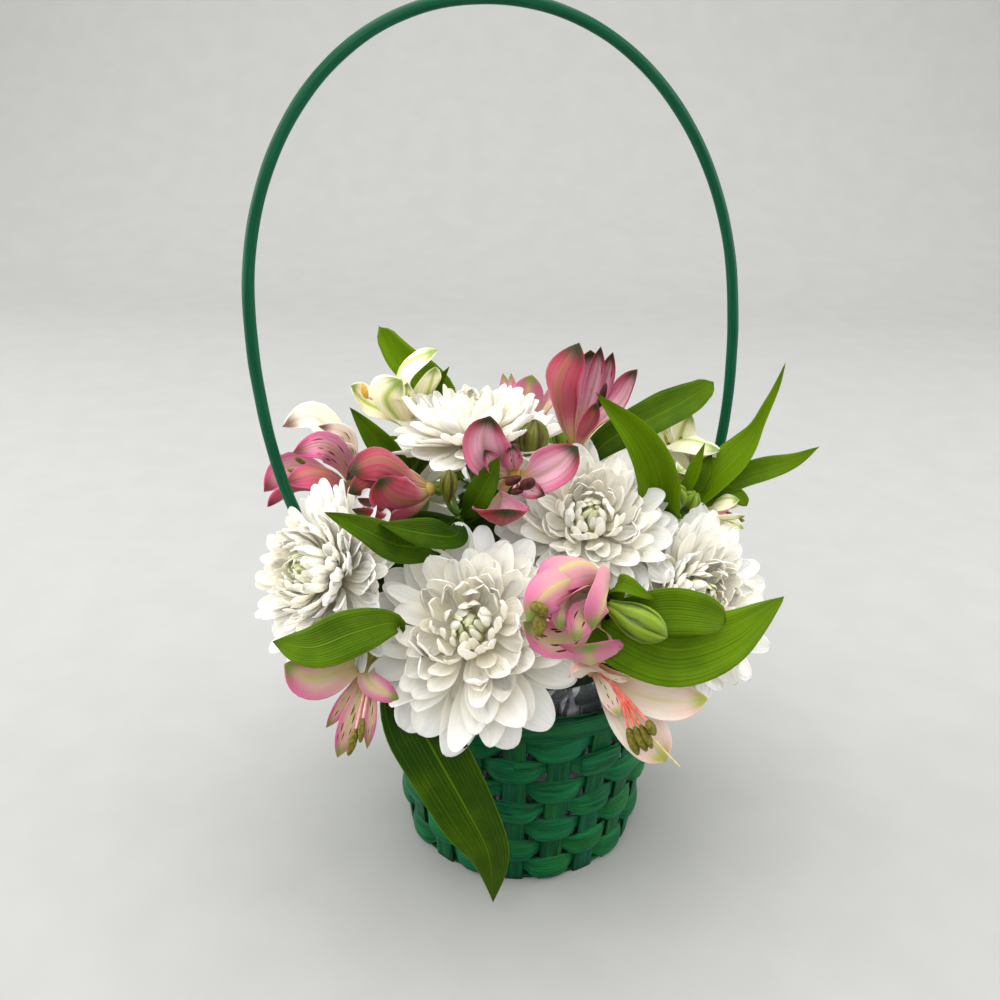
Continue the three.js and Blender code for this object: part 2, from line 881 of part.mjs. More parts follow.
/** A floret's tube, its three broad outer and three narrow inner tepals, and its stamens. */
function floretSolid(floret, seed) {
  const random = randomFrom(seed);
  const { kind, size } = floret;
  const frame = frameAlong(vec(floret.base), vec(floret.axis), floret.turn);
  const { tubeRadius, tubeLength } = FLORET;
  const tube = turned(
    [[0, 0], [tubeRadius * 0.8, 0], [tubeRadius, tubeLength], [0, tubeLength]],
    6,
  ).applyMatrix4(frame);
  const solids = [solidOf(tube)];
  occupy(floret.name, solids[0]);
  for (let i = 0; i < 6; i += 1) {
    const outer = i % 2 === 0;
    const flare = outer ? kind.outer : kind.inner;
    const spec = {
      length: size * (outer ? 1 : 0.92) * (0.96 + random() * 0.08),
      width: size * (outer ? 0.46 : 0.22),
      rise: 90 - kind.start,
      bend: kind.start - flare,
      cup: 0.1,
      thickness: FLORET.tepalThickness,
      outline: outer ? TEPAL_OUTLINE.outer : TEPAL_OUTLINE.inner,
    };
    const azimuth = degToRad(i * 60 + (random() - 0.5) * 4);
    const build = ({ lift, shorten }, swell) =>
      petal({ ...spec, bend: spec.bend + lift, length: spec.length * shorten }, swell)
        .translate(outer ? 1 : 0.6, 0, outer ? 1 : tubeLength - 4)
        .applyMatrix4(new THREE.Matrix4().makeRotationZ(azimuth))
        .applyMatrix4(frame);
    const settled = settle(floret.name, BENDS, build);
    if (settled) solids.push(settled);
  }
  if (kind === OPEN) {
    for (const azimuth of [-30, 0, 30]) {
      const stamen = solidOf(stamenBody(size, degToRad(azimuth)).applyMatrix4(frame));
      if (!isClear(floret.name, stamen)) continue;
      occupy(floret.name, stamen);
      solids.push(stamen);
    }
  }
  return joined(solids);
}

/** A three-sided filament that leans towards -Y and swells into its anther near the tip. */
function stamenBody(size, azimuth) {
  const foot = v(0.8 * Math.sin(azimuth * 2), -0.6, FLORET.tubeLength - 1);
  const tip = v(Math.sin(azimuth) * size * 0.26, -size * 0.17, size * 0.8);
  const loop = ([share, radius]) => {
    const centre = foot.clone().lerp(tip, share);
    return [0, 120, 240].map((degrees) => {
      const angle = degToRad(degrees);
      return centre.clone().add(v(radius * Math.cos(angle), radius * Math.sin(angle), 0));
    });
  };
  const { filamentRadius, antherRadius } = FLORET;
  const stations = [[0, filamentRadius], [0.8, filamentRadius], [0.87, antherRadius]];
  return loft(stations.map(loop), { endTip: tip });
}

/** Each station of a leaf: its share of the spine's length and of the full width. */
const LEAF_STATIONS = [[0.18, 0.52], [0.38, 0.96], [0.6, 1], [0.82, 0.6]];

/** A lance-shaped leaf along a spine of points, folded a little along its midrib. */
function leafBlade(root, { spine, width, face }, { lift, shorten }, swell) {
  const toward = vec(face).normalize();
  const bent = spine.map((point, i) => {
    const raise = (lift * (i + 1)) / spine.length;
    return vec(point).addScaledVector(toward, raise);
  });
  const curve = new THREE.CatmullRomCurve3([root, ...bent], false, "centripetal");
  const thickness = SPRIG.leafThickness + 2 * swell;
  const loops = LEAF_STATIONS.map(([share, wide]) => {
    const at = share * shorten;
    const tangent = curve.getTangentAt(at);
    const across = tangent.clone().cross(toward).normalize();
    const normal = across.clone().cross(tangent).normalize();
    const full = width * wide;
    const fold = full * SPRIG.leafFold;
    return bladeSection(curve.getPointAt(at), across, normal, full / 2 + swell, fold, thickness);
  });
  return loft(loops, { startTip: root, endTip: curve.getPointAt(shorten) });
}

/** A spindle from base to tip: a closed bud, or the seed case under a floret. */
function spindle(base, tip, radius, swell = 0) {
  const along = tip.clone().sub(base);
  const length = along.length();
  const profile = [
    [0, -swell],
    [radius * 0.5 + swell, 0.1 * length],
    [radius + swell, 0.6 * length],
    [0, length + swell],
  ];
  return turned(profile, 5).applyMatrix4(frameAlong(base, along));
}

function sprigCurve(sprig, swell = 0) {
  const route = sprig.route.map(vec);
  route[0].z -= swell;
  return new THREE.CatmullRomCurve3(route, false, "centripetal");
}

/** The rods of a leafy stem: its main route and a short stalk to each floret and bud. */
function sprigWood(sprig, swell = 0) {
  const main = sprigCurve(sprig, swell);
  const crown = main.getPointAt(1);
  const solids = [solidOf(rod(main, SPRIG.stemRadius + swell, 4, 4))];
  for (const floret of sprig.florets) {
    const axis = vec(floret.axis).normalize();
    const top = vec(floret.base).addScaledVector(axis, -GAP);
    const neck = top.clone().addScaledVector(axis, -SPRIG.ovaryLength);
    solids.push(solidOf(spindle(neck, top, SPRIG.ovaryRadius, swell)));
    solids.push(solidOf(stalk(main, crown, neck.clone().addScaledVector(axis, 2), axis, swell)));
  }
  for (const bud of sprig.buds) {
    const base = vec(bud.base);
    const axis = vec(bud.tip).sub(base).normalize();
    solids.push(solidOf(spindle(base, vec(bud.tip), bud.radius, swell)));
    solids.push(solidOf(stalk(main, crown, base.clone().addScaledVector(axis, 3), axis, swell)));
  }
  return solids;
}

/** A thin stalk from the nearest point of the stem's upper half to a flower or bud. */
function stalk(main, crown, end, axis, swell) {
  let start = crown;
  for (const share of [0.75, 0.85, 0.93]) {
    const point = main.getPointAt(share);
    if (point.distanceTo(end) < start.distanceTo(end)) start = point;
  }
  const reach = start.distanceTo(end);
  const bend = end.clone().addScaledVector(axis, -reach * 0.4);
  const curve = new THREE.QuadraticBezierCurve3(start, bend, end);
  return rod(curve, SPRIG.pedicelRadius + swell, 3, 2);
}

// ---------------------------------------------------------------- assembly
addPiece("basket_frame", basketFrame(), COLOUR.chip, 0.5);
for (let row = 0; row < WEAVER.rows; row += 1) {
  const solid = solidOf(weaverRow(row));
  addPiece("weaver_row_" + (row + 1), solid, COLOUR.chip, 0.45);
  occupy("basket_wall", solid);
}
const rimHoops = { rim_hoop_outer: solidOf(rimHoop(1)), rim_hoop_inner: solidOf(rimHoop(-1)) };
for (const [name, solid] of Object.entries(rimHoops)) {
  addPiece(name, solid, COLOUR.chip, 0.45);
  occupy(name, solid);
}

const handle = solidOf(rod(handleCurve(), HANDLE.radius, HANDLE.sides, HANDLE.steps));
addPiece("handle", handle, COLOUR.cane, 0.4);
occupy("handle", handle);

const liner = filmLiner();
addPiece("film_liner", liner, COLOUR.film, 0.25);
occupy("film_liner", liner);

let foam = solidOf(foamBlock());
occupy("foam", foam);

for (const bloom of BLOOMS) {
  occupy(bloom.name, bloomCore(bloom));
  occupy(bloom.name + "_stem", bloomStem(bloom));
  foam = foam.subtract(bloomStem(bloom, GAP));
}
for (const sprig of SPRIGS) {
  for (const solid of sprigWood(sprig)) occupy(sprig.name, solid);
  for (const solid of sprigWood(sprig, GAP)) foam = foam.subtract(solid);
}
addPiece("foam", foam, COLOUR.foam, 0.95);

for (const sprig of SPRIGS) {
  const root = sprigCurve(sprig).getPointAt(0.97);
  const leaves = sprig.leaves.map((leaf) =>
    settle(sprig.name, BENDS, (bend, swell) => leafBlade(root, leaf, bend, swell)),
  );
  addPiece(sprig.name, joined([...sprigWood(sprig), ...leaves.filter(Boolean)]), COLOUR.leaf, 0.55);
}
SPRIGS.forEach((sprig, i) =>
  sprig.florets.forEach((floret, j) => {
    const solid = floretSolid(floret, 101 + 17 * i + 5 * j);
    addPiece(floret.name, solid, FLORET_COLOUR[floret.name], 0.6);
  }),
);
BLOOMS.forEach((bloom, i) => {
  const petals = bloomPetals(bloom, 7 + 13 * i);
  addPiece(bloom.name, joined([bloomCore(bloom), ...petals]), COLOUR.white, 0.7);
  addPiece(bloom.name + "_stem", bloomStem(bloom), COLOUR.stem, 0.6);
});

export default arrangement;
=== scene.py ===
"""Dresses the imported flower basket: woven chip, cane handle, film, foam, blooms, lilies and leaves."""

import json
import logging
import math
from dataclasses import dataclass, field
from enum import Enum
from functools import cache, reduce
from typing import Any, Optional, Protocol, Sequence

import bpy
import numpy as np
from mathutils import Matrix, Vector

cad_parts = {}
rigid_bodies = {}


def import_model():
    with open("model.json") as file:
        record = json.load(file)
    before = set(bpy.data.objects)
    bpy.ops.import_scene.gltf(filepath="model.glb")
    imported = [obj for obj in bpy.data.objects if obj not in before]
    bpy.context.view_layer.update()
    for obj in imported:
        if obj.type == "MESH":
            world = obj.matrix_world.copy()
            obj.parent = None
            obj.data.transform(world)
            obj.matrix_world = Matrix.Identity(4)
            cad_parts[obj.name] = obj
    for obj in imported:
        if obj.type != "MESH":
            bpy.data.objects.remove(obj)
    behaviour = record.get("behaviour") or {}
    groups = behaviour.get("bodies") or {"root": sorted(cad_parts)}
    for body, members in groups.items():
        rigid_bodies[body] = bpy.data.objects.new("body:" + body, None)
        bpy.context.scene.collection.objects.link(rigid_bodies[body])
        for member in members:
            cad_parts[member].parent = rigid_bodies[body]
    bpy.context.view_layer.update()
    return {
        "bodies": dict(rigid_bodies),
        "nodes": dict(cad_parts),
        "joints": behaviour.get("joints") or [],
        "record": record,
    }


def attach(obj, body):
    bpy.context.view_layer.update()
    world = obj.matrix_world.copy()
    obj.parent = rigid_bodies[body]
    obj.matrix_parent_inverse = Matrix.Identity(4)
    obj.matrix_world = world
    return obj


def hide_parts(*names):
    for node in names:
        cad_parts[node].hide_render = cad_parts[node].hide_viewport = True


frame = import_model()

log = logging.getLogger("flower_basket")

MM = 0.001
UP = np.array([0.0, 0.0, 1.0])
TAU = 2 * math.pi
GOLDEN_ANGLE = math.pi * (3 - math.sqrt(5))

Array = np.ndarray
Colour = tuple[float, float, float]
Material = bpy.types.Material
Socket = bpy.types.NodeSocket
Triple = Sequence[float]


# ---------------------------------------------------------------- vectors and curves
def unit(a: Array) -> Array:
    """Vectors of length one, along the last axis."""
    return a / np.maximum(np.linalg.norm(a, axis=-1, keepdims=True), 1e-12)


def smooth(x: Array | float, low: float, high: float) -> Array:
    """A smooth step from 0 at low to 1 at high; low may be the greater of the two."""
    t = np.clip((np.asarray(x, float) - low) / (high - low), 0.0, 1.0)
    return t * t * (3.0 - 2.0 * t)


def lerp(a: float, b: float, t: float) -> float:
    """The value a share t of the way from a to b."""
    return a + (b - a) * t


def basis(axis: Triple, turn: float = 0.0) -> Array:
    """A rotation that carries +Z to an axis.

    Args:
        axis: where +Z goes.
        turn: degrees about +Z before that.

    Returns:
        A 3 x 3 matrix whose columns are the local axes.
    """
    tilt = Vector((0.0, 0.0, 1.0)).rotation_difference(Vector(axis).normalized()).to_matrix()
    spin = Matrix.Rotation(math.radians(turn), 3, "Z")
    return np.array(tilt @ spin, float)


def through(points: Sequence[Triple], count: int) -> Array:
    """Evenly spaced points on the centripetal Catmull-Rom curve through some points.

    Args:
        points: what the curve goes through.
        count: how many points are returned.

    Returns:
        An array of count rows.
    """
    p = np.asarray(points, float)
    p = np.vstack([2 * p[0] - p[1], p, 2 * p[-1] - p[-2]])
    dense: list[Array] = []
    for i in range(1, len(p) - 2):
        q = p[i - 1 : i + 3]
        gaps = np.maximum(np.linalg.norm(np.diff(q, axis=0), axis=1) ** 0.5, 1e-6)
        t = np.concatenate([[0.0], np.cumsum(gaps)])
        x = np.linspace(t[1], t[2], 24, endpoint=False)[:, None]
        a = [((t[k + 1] - x) * q[k] + (x - t[k]) * q[k + 1]) / (t[k + 1] - t[k]) for k in range(3)]
        b = [((t[k + 2] - x) * a[k] + (x - t[k]) * a[k + 1]) / (t[k + 2] - t[k]) for k in range(2)]
        dense.append(((t[2] - x) * b[0] + (x - t[1]) * b[1]) / (t[2] - t[1]))
    line = np.vstack(dense + [p[-2:-1]])
    return resample(line, np.linspace(0.0, 1.0, count))


def resample(line: Array, shares: Array) -> Array:
    """Points of a polyline at shares of its length."""
    run = np.concatenate([[0.0], np.cumsum(np.linalg.norm(np.diff(line, axis=0), axis=1))])
    return np.stack([np.interp(shares * run[-1], run, line[:, k]) for k in range(3)], axis=1)


def crowded(count: int, power: float) -> Array:
    """Shares from 0 to 1 that stand closer together near 1."""
    return 1.0 - (1.0 - np.linspace(0.0, 1.0, count)) ** power


def hoop(radius: Array | float, angle: Array, z: Array | float) -> Array:
    """Points round the +Z axis, one for each angle."""
    z = np.broadcast_to(z, angle.shape)
    return np.stack([radius * np.cos(angle), radius * np.sin(angle), z], axis=-1)


def hoops(rings: Sequence[tuple[float, float]], count: int) -> Array:
    """Loops of points round the +Z axis from [radius, height] pairs."""
    angle = np.linspace(0, TAU, count, endpoint=False)
    return np.array([hoop(radius, angle, z) for radius, z in rings])


def spoke(azimuth: float) -> Array:
    """The level direction at an azimuth in radians."""
    return np.array([math.cos(azimuth), math.sin(azimuth), 0.0])


def section(columns: int) -> Array:
    """Places across a blade from -1 to 1, closer together at its edges."""
    return np.sin(np.linspace(-math.pi / 2, math.pi / 2, columns))


def arc(start: Array, bend: Array, end: Array, count: int) -> Array:
    """Points on the parabola from start to end that leaves and arrives along the lines to bend."""
    t = np.linspace(0, 1, count)[:, None]
    return (1 - t) ** 2 * start + 2 * t * (1 - t) * bend + t**2 * end


def profile(knots: Sequence[tuple[float, float]], at: Array) -> Array:
    """A smooth width profile through [share, width] knots.

    Args:
        knots: shares of the length with the width at each.
        at: where it is read.

    Returns:
        The widths, never below zero.
    """
    x, y = np.array(knots, float).T
    slope = np.gradient(y, x)
    i = np.clip(np.searchsorted(x, at) - 1, 0, len(x) - 2)
    h = x[i + 1] - x[i]
    t = (at - x[i]) / h
    value = (
        (2 * t**3 - 3 * t**2 + 1) * y[i]
        + (t**3 - 2 * t**2 + t) * h * slope[i]
        + (3 * t**2 - 2 * t**3) * y[i + 1]
        + (t**3 - t**2) * h * slope[i + 1]
    )
    return np.maximum(value, 0.0)


# ---------------------------------------------------------------- meshes
@dataclass(frozen=True)
class Traits:
    """What a blade's finish reads from its vertices: all run from 0 to 1."""

    tone: float = 0.5
    depth: float = 0.5
    kind: float = 0.0


class Skin:
    """Gathers closed lofts, given in millimetres, into one mesh object in metres."""

    def __init__(self, name: str) -> None:
        """Starts an empty mesh.

        Args:
            name: of the object to be.
        """
        self.name = name
        self.points: list[Array] = []
        self.traits: list[Array] = []
        self.corners: dict[int, list[Array]] = {3: [], 4: []}
        self.uvs: dict[int, list[Array]] = {3: [], 4: []}
        self.slots: dict[int, list[Array]] = {3: [], 4: []}
        self.count = 0

    def _faces(self, index: Array, uv: Array, slot: int) -> None:
        """Adds faces that all have as many corners.

        Args:
            index: the points at each face's corners.
            uv: their texture coordinates.
            slot: the material's place on the object.
        """
        sides = index.shape[1]
        self.corners[sides].append(index)
        self.uvs[sides].append(uv)
        self.slots[sides].append(np.full(len(index), slot))

    def loft(
        self,
        loops: Array,
        u: Array,
        v: Array,
        side: Optional[Array] = None,
        traits: Traits = Traits(),
        tips: tuple[Optional[Array], Optional[Array]] = (None, None),
        ring: bool = False,
        slot: int = 0,
    ) -> None:
        """Closes a skin over loops of points.

        Args:
            loops: stations x corners x 3, in millimetres.
            u: the first texture coordinate of each corner, and of the first again.
            v: the second one of each station; a ring has one more.
            side: 1 on the inner face, 0 on the outer, for each corner.
            traits: what the finish reads.
            tips: the points that the two ends run to; an end without one closes at its middle.
            ring: whether the last loop joins the first.
            slot: the material's place on the object.
        """
        n, k = loops.shape[:2]
        index = self.count + np.arange(n * k).reshape(n, k)
        rows = np.vstack([index, index[:1]]) if ring else index
        grid = np.hstack([rows, rows[:, :1]])
        uv = np.stack(np.meshgrid(u, v), axis=-1)
        corner = [(slice(None, -1), slice(None, -1)), (slice(None, -1), slice(1, None))]
        corner += [(slice(1, None), slice(1, None)), (slice(1, None), slice(None, -1))]
        quads = np.stack([grid[c] for c in corner], axis=-1).reshape(-1, 4)
        quad_uv = np.stack([uv[c] for c in corner], axis=2).reshape(-1, 4, 2)
        self._faces(quads, quad_uv, slot)
        face = np.tile(np.full(k, 0.5) if side is None else side, n)
        points = [loops.reshape(-1, 3)]
        if not ring:
            for end, outward in ((0, False), (-1, True)):
                tip = tips[end]
                points.append((loops[end].mean(axis=0) if tip is None else tip)[None])
                face = np.append(face, 0.5)
                a, b = grid[end, :-1], grid[end, 1:]
                if not outward:
                    a, b = b, a
                c = np.full(k, self.count + n * k + int(outward))
                self._faces(np.stack([a, b, c], axis=1), self._fan(u, v[end], outward), slot)
        added = np.vstack(points)
        self.points.append(added)
        rest = np.tile([traits.tone, traits.depth, traits.kind], (len(added), 1))
        self.traits.append(np.hstack([rest, face[:, None]]))
        self.count += len(added)

    @staticmethod
    def _fan(u: Array, end: float, outward: bool) -> Array:
        """The texture coordinates of an end's fan of triangles.

        Args:
            u: the first coordinate of each corner, and of the first again.
            end: the second one.
            outward: whether the fan closes the last loop.

        Returns:
            Triangles x 3 corners x 2.
        """
        a, b = (u[:-1], u[1:]) if outward else (u[1:], u[:-1])
        flat = np.stack([a, b, (a + b) / 2], axis=1)
        return np.stack([flat, np.full_like(flat, end)], axis=-1)

    def blade(
        self,
        spine: Array,
        normal: Array,
        half: Array,
        curl: Array,
        thickness: float,
        columns: int = 7,
        ripple: Optional[Array] = None,
        edge: float = 2.0,
        v: Optional[Array] = None,
        pointed: bool = True,
        ring: bool = False,
        traits: Traits = Traits(),
    ) -> None:
        """Adds a thin blade, bowed across its width.

        Args:
            spine: the middle of each station.
            normal: the way its inner face looks, one row or one for each station.
            half: half the width at each station.
            curl: half the angle that its section turns through, in radians.
            thickness: at the middle; it thins to nothing at the edges.
            columns: points across one face.
            ripple: extra height of each point of the section.
            edge: how squarely the thickness ends; 2 is an ellipse.
            v: texture coordinate along it, from 0 to 1 if none is given.
            pointed: whether the first and last stations are single points.
            ring: whether it closes on itself.
            traits: what the finish reads.
        """
        behind, beyond = np.roll(spine, 1, axis=0), np.roll(spine, -1, axis=0)
        ahead = unit(beyond - behind if ring else np.gradient(spine, axis=0))
        normal = np.broadcast_to(normal, spine.shape)
        normal = unit(normal - (normal * ahead).sum(axis=1, keepdims=True) * ahead)
        across = np.cross(ahead, normal)
        s = section(columns)
        bow = np.where(np.abs(curl) < 1e-3, 1e-3, curl)[:, None]
        angle = s[None, :] * bow
        x = half[:, None] * np.sin(angle) / bow
        y = half[:, None] * (1.0 - np.cos(angle)) / bow
        if ripple is not None:
            y = y + ripple
        t = thickness / 2 * np.sqrt(np.maximum(1.0 - np.abs(s) ** edge, 0.0))[None, :, None]
        middle = spine[:, None] + across[:, None] * x[..., None] + normal[:, None] * y[..., None]
        local = normal[:, None] * np.cos(angle)[..., None] - across[:, None] * np.sin(angle)[..., None]
        top, under = middle + local * t, middle - local * t
        loops = np.concatenate([top, under[:, -2:0:-1]], axis=1)
        u = (np.concatenate([s, s[-2:0:-1], s[:1]]) + 1) / 2
        side = np.concatenate([[0.5], np.ones(columns - 2), [0.5], np.zeros(columns - 2)])
        if v is None:
            v = np.linspace(0.0, 1.0, len(spine) + (1 if ring else 0))
        tips: tuple[Optional[Array], Optional[Array]] = (None, None)
        if pointed:
            tips = (middle[0].mean(axis=0), middle[-1].mean(axis=0))
            loops, v = loops[1:-1], v[1:-1]
        self.loft(loops, u, v, side, traits, tips, ring)

    def tube(
        self,
        line: Array,
        radius: Array | float,
        sides: int = 10,
        ribs: int = 0,
        rib_depth: float = 0.0,
        traits: Traits = Traits(),
        slot: int = 0,
    ) -> None:
        """Adds a round or ribbed rod along a line.

        Args:
            line: the middle of each station.
            radius: one for all stations or one for each.
            sides: corners of the section.
            ribs: how many ribs run along it.
            rib_depth: their height as a share of the radius.
            traits: what the finish reads.
            slot: the material's place on the object.
        """
        ahead = unit(np.gradient(line, axis=0))
        guide = UP if abs(ahead[0, 2]) < 0.9 else np.array([1.0, 0.0, 0.0])
        first = unit(np.cross(guide, ahead[0]))
        frames = [first]
        for t in ahead[1:]:
            first = unit(first - (first @ t) * t)
            frames.append(first)
        x = np.array(frames)
        y = np.cross(ahead, x)
        theta = np.arange(sides) * TAU / sides
        size = np.broadcast_to(np.asarray(radius, float), len(line))[:, None]
        size = size * (1.0 + rib_depth * np.cos(theta * ribs))[None, :]
        loops = line[:, None] + x[:, None] * (size * np.cos(theta))[..., None]
        loops = loops + y[:, None] * (size * np.sin(theta))[..., None]
        run = np.concatenate([[0.0], np.cumsum(np.linalg.norm(np.diff(line, axis=0), axis=1))])
        self.loft(loops, np.arange(sides + 1) / sides, run / 10.0, None, traits, slot=slot)

    def build(self, materials: Sequence[Material]) -> bpy.types.Object:
        """Makes the object.

        Args:
            materials: one for each slot that the lofts name.

        Returns:
            The object, in metres, linked to the scene.
        """
        mesh = bpy.data.meshes.new(self.name)
        points = np.vstack(self.points) * MM
        mesh.vertices.add(len(points))
        mesh.vertices.foreach_set("co", points.astype(np.float32).ravel())
        loops, uvs, slots, starts, total = [], [], [], [], 0
        for sides in (4, 3):
            if not self.corners[sides]:
                continue
            index = np.vstack(self.corners[sides])
            loops.append(index.ravel())
            uvs.append(np.vstack(self.uvs[sides]).reshape(-1, 2))
            slots.append(np.concatenate(self.slots[sides]))
            starts.append(total + np.arange(len(index)) * sides)
            total += index.size
        mesh.loops.add(total)
        mesh.loops.foreach_set("vertex_index", np.concatenate(loops).astype(np.int32))
        start = np.concatenate(starts).astype(np.int32)
        mesh.polygons.add(len(start))
        mesh.polygons.foreach_set("loop_start", start)
        mesh.polygons.foreach_set("material_index", np.concatenate(slots).astype(np.int32))
        mesh.update(calc_edges=True)
        layer = mesh.uv_layers.new(name="UVMap")
        layer.data.foreach_set("uv", np.vstack(uvs).astype(np.float32).ravel())
        traits = np.vstack(self.traits).astype(np.float32)
        for column, name in enumerate(("tone", "depth", "kind", "side")):
            attribute = mesh.attributes.new(name, "FLOAT", "POINT")
            attribute.data.foreach_set("value", np.ascontiguousarray(traits[:, column]))
        mesh.shade_smooth()
        for material in materials:
            mesh.materials.append(material)
        made = bpy.data.objects.new(self.name, mesh)
        bpy.context.scene.collection.objects.link(made)
        return made


# ---------------------------------------------------------------- finishes
class Nodes:
    """Wires the shader of one material."""

    def __init__(self, name: str) -> None:
        """Starts a material with one shader and its output.

        Args:
            name: of the material.
        """
        self.material = bpy.data.materials.new(name)
        self.material.use_nodes = True
        self.tree = self.material.node_tree
        self.tree.nodes.clear()
        self.shader = self.tree.nodes.new("ShaderNodeBsdfPrincipled")
        output = self.tree.nodes.new("ShaderNodeOutputMaterial")
        self.tree.links.new(self.shader.outputs[0], output.inputs[0])

    def put(self, value: Any, target: Socket) -> None:
        """Feeds a socket.

        Args:
            value: another socket, a number or a colour.
            target: the socket that is fed.
        """
        if isinstance(value, Socket):
            self.tree.links.new(value, target)
        elif target.type == "RGBA":
            target.default_value = (*value, 1.0)
        else:
            target.default_value = value

    def node(self, kind: str, inputs: dict[Any, Any], output: int | str = 0, **settings: Any) -> Socket:
        """Adds a node.

        Args:
            kind: its type, without ShaderNode before it.
            inputs: what it is fed, by the name or the number of the input.
            output: the output that is handed back.
            settings: its own options by name.

        Returns:
            That output.
        """
        node = self.tree.nodes.new(f"ShaderNode{kind}")
        for name, value in settings.items():
            setattr(node, name, value)
        for key, value in inputs.items():
            self.put(value, node.inputs[key])
        return node.outputs[output]

    def math(self, operation: str, a: Any, b: Any = 0.0, c: Any = 0.0) -> Socket:
        """The result of a Math node."""
        return self.node("Math", {0: a, 1: b, 2: c}, operation=operation)

    def band(self, x: Any, low: float, high: float, top: float = 1.0) -> Socket:
        """A smooth step of x, from 0 at low to top at high; low may be the greater of the two."""
        ends = (high, low, top, 0.0) if low > high else (low, high, 0.0, top)
        return self.node("MapRange", dict(enumerate((x, *ends))), interpolation_type="SMOOTHSTEP")

    def times(self, *values: Any) -> Socket:
        """The product of several numbers."""
        return reduce(lambda a, b: self.math("MULTIPLY", a, b), values)

    def mix(self, share: Any, a: Any, b: Any, blend: str = "MIX") -> Socket:
        """A colour between a and b."""
        return self.node("Mix", {0: share, 6: a, 7: b}, 2, data_type="RGBA", blend_type=blend)

    def trait(self, name: str) -> Socket:
        """A number that the mesh carries."""
        return self.node("Attribute", {}, "Fac", attribute_name=name)

    def across_along(self) -> tuple[Socket, Socket]:
        """Reads the texture coordinates.

        Returns:
            The place across the blade and the place along it.
        """
        split = self.tree.nodes.new("ShaderNodeSeparateXYZ")
        self.put(self.node("UVMap", {}, uv_map="UVMap"), split.inputs[0])
        return split.outputs[0], split.outputs[1]

    def from_middle(self, u: Any) -> Socket:
        """How far from the midrib a place across the blade is, from 0 to 1."""
        return self.math("ABSOLUTE", self.math("MULTIPLY_ADD", u, 2.0, -1.0))

    def place(self) -> Socket:
        """The point on the object, in metres."""
        return self.node("TexCoord", {}, "Object")

    def stretched(self, x: Any, y: Any, z: Any = 0.0) -> Socket:
        """A vector from three numbers."""
        return self.node("CombineXYZ", {0: x, 1: y, 2: z})

    def noise(self, where: Any, scale: float = 1.0, detail: float = 2.0) -> Socket:
        """Soft noise round one half."""
        return self.node("TexNoise", {"Vector": where, "Scale": scale, "Detail": detail})

    def grain(self, across: Any, along: Any, shift: Any = 0.0, detail: float = 3.0) -> Socket:
        """Noise drawn out along a blade; the shift sets it apart from its neighbours."""
        return self.noise(self.stretched(across, along, shift), 1.0, detail)

    def cells(self, where: Any, scale: float = 1.0, feature: str = "F1") -> Socket:
        """The distance to the nearest of some scattered points, or to the border between them."""
        return self.node("TexVoronoi", {"Vector": where, "Scale": scale}, "Distance", feature=feature)

    def close(
        self,
        colour: Any,
        roughness: Any,
        height: Any = None,
        relief: float = 0.0,
        **constants: Any,
    ) -> Material:
        """Feeds the shader.

        Args:
            colour: the base colour.
            roughness: the roughness.
            height: what the bump reads, if any.
            relief: how high the bump is, in millimetres.
            constants: other shader inputs by name, with _ for spaces.

        Returns:
            The finished material.
        """
        self.put(colour, self.shader.inputs["Base Color"])
        self.put(roughness, self.shader.inputs["Roughness"])
        if height is not None:
            bump = {"Strength": 1.0, "Distance": relief * MM, "Height": height}
            self.put(self.node("Bump", bump), self.shader.inputs["Normal"])
        for name, value in constants.items():
            self.shader.inputs[name.replace("_", " ")].default_value = value
        return self.material


@dataclass(frozen=True)
class PetalFinish:
    """Soft white petals: a painted highlight at the rim, cream inside, yellow-green at the eye of the bloom.
    """

    name: str = "petal_white"
    white: Colour = (0.965, 0.94, 0.87)
    # rim: the paler colour of the painted highlight along the petals' edges and tips.
    rim: Colour = (0.975, 0.96, 0.92)
    cream: Colour = (0.90, 0.83, 0.62)
    shade: Colour = (0.90, 0.87, 0.77)
    eye: Colour = (0.60, 0.63, 0.20)
    tan: Colour = (0.60, 0.44, 0.24)

    def make(self) -> Material:
        """Wires the material.

        Returns:
            The material.
        """
        n = Nodes(self.name)
        u, v = n.across_along()
        depth, tone = n.trait("depth"), n.trait("tone")
        out = n.from_middle(u)
        inner = n.times(n.band(depth, 0.75, 0.02), n.math("MULTIPLY_ADD", tone, 0.5, 0.45))
        root = n.times(n.band(v, 0.75, 0.05), 0.95)
        colour = n.mix(n.math("MAXIMUM", inner, root), self.white, self.cream)
        colour = n.mix(n.band(depth, 0.16, 0.04, 0.8), colour, self.eye)
        waves = n.math("SINE", n.times(u, TAU * 7))
        fibre = n.grain(n.times(u, 24.0), n.times(v, 2.2), n.times(tone, 40.0))
        veins = n.math("MULTIPLY_ADD", waves, 0.2, fibre)
        colour = n.mix(n.band(veins, 0.62, 0.2, 0.16), colour, self.shade, "MULTIPLY")
        # Painted highlight: each petal's edges and tip are lightened, but not at the eye of the bloom.
        painted_rim_highlight = n.math("MAXIMUM", n.band(out, 0.80, 0.98), n.band(v, 0.90, 0.99))
        colour = n.mix(n.times(painted_rim_highlight, n.band(depth, 0.05, 0.2), 0.65), colour, self.rim)
        worn = n.times(n.band(v, 0.94, 1.0), n.band(tone, 0.90, 0.96), 0.6)
        colour = n.mix(worn, colour, self.tan)
        return n.close(
            colour, 0.5, veins, 0.14,
            Subsurface_Weight=0.45, Subsurface_Radius=(0.0045, 0.0034, 0.0022), Subsurface_Scale=1.0,
            Sheen_Weight=0.08, Sheen_Roughness=0.5, Specular_IOR_Level=0.12,
        )


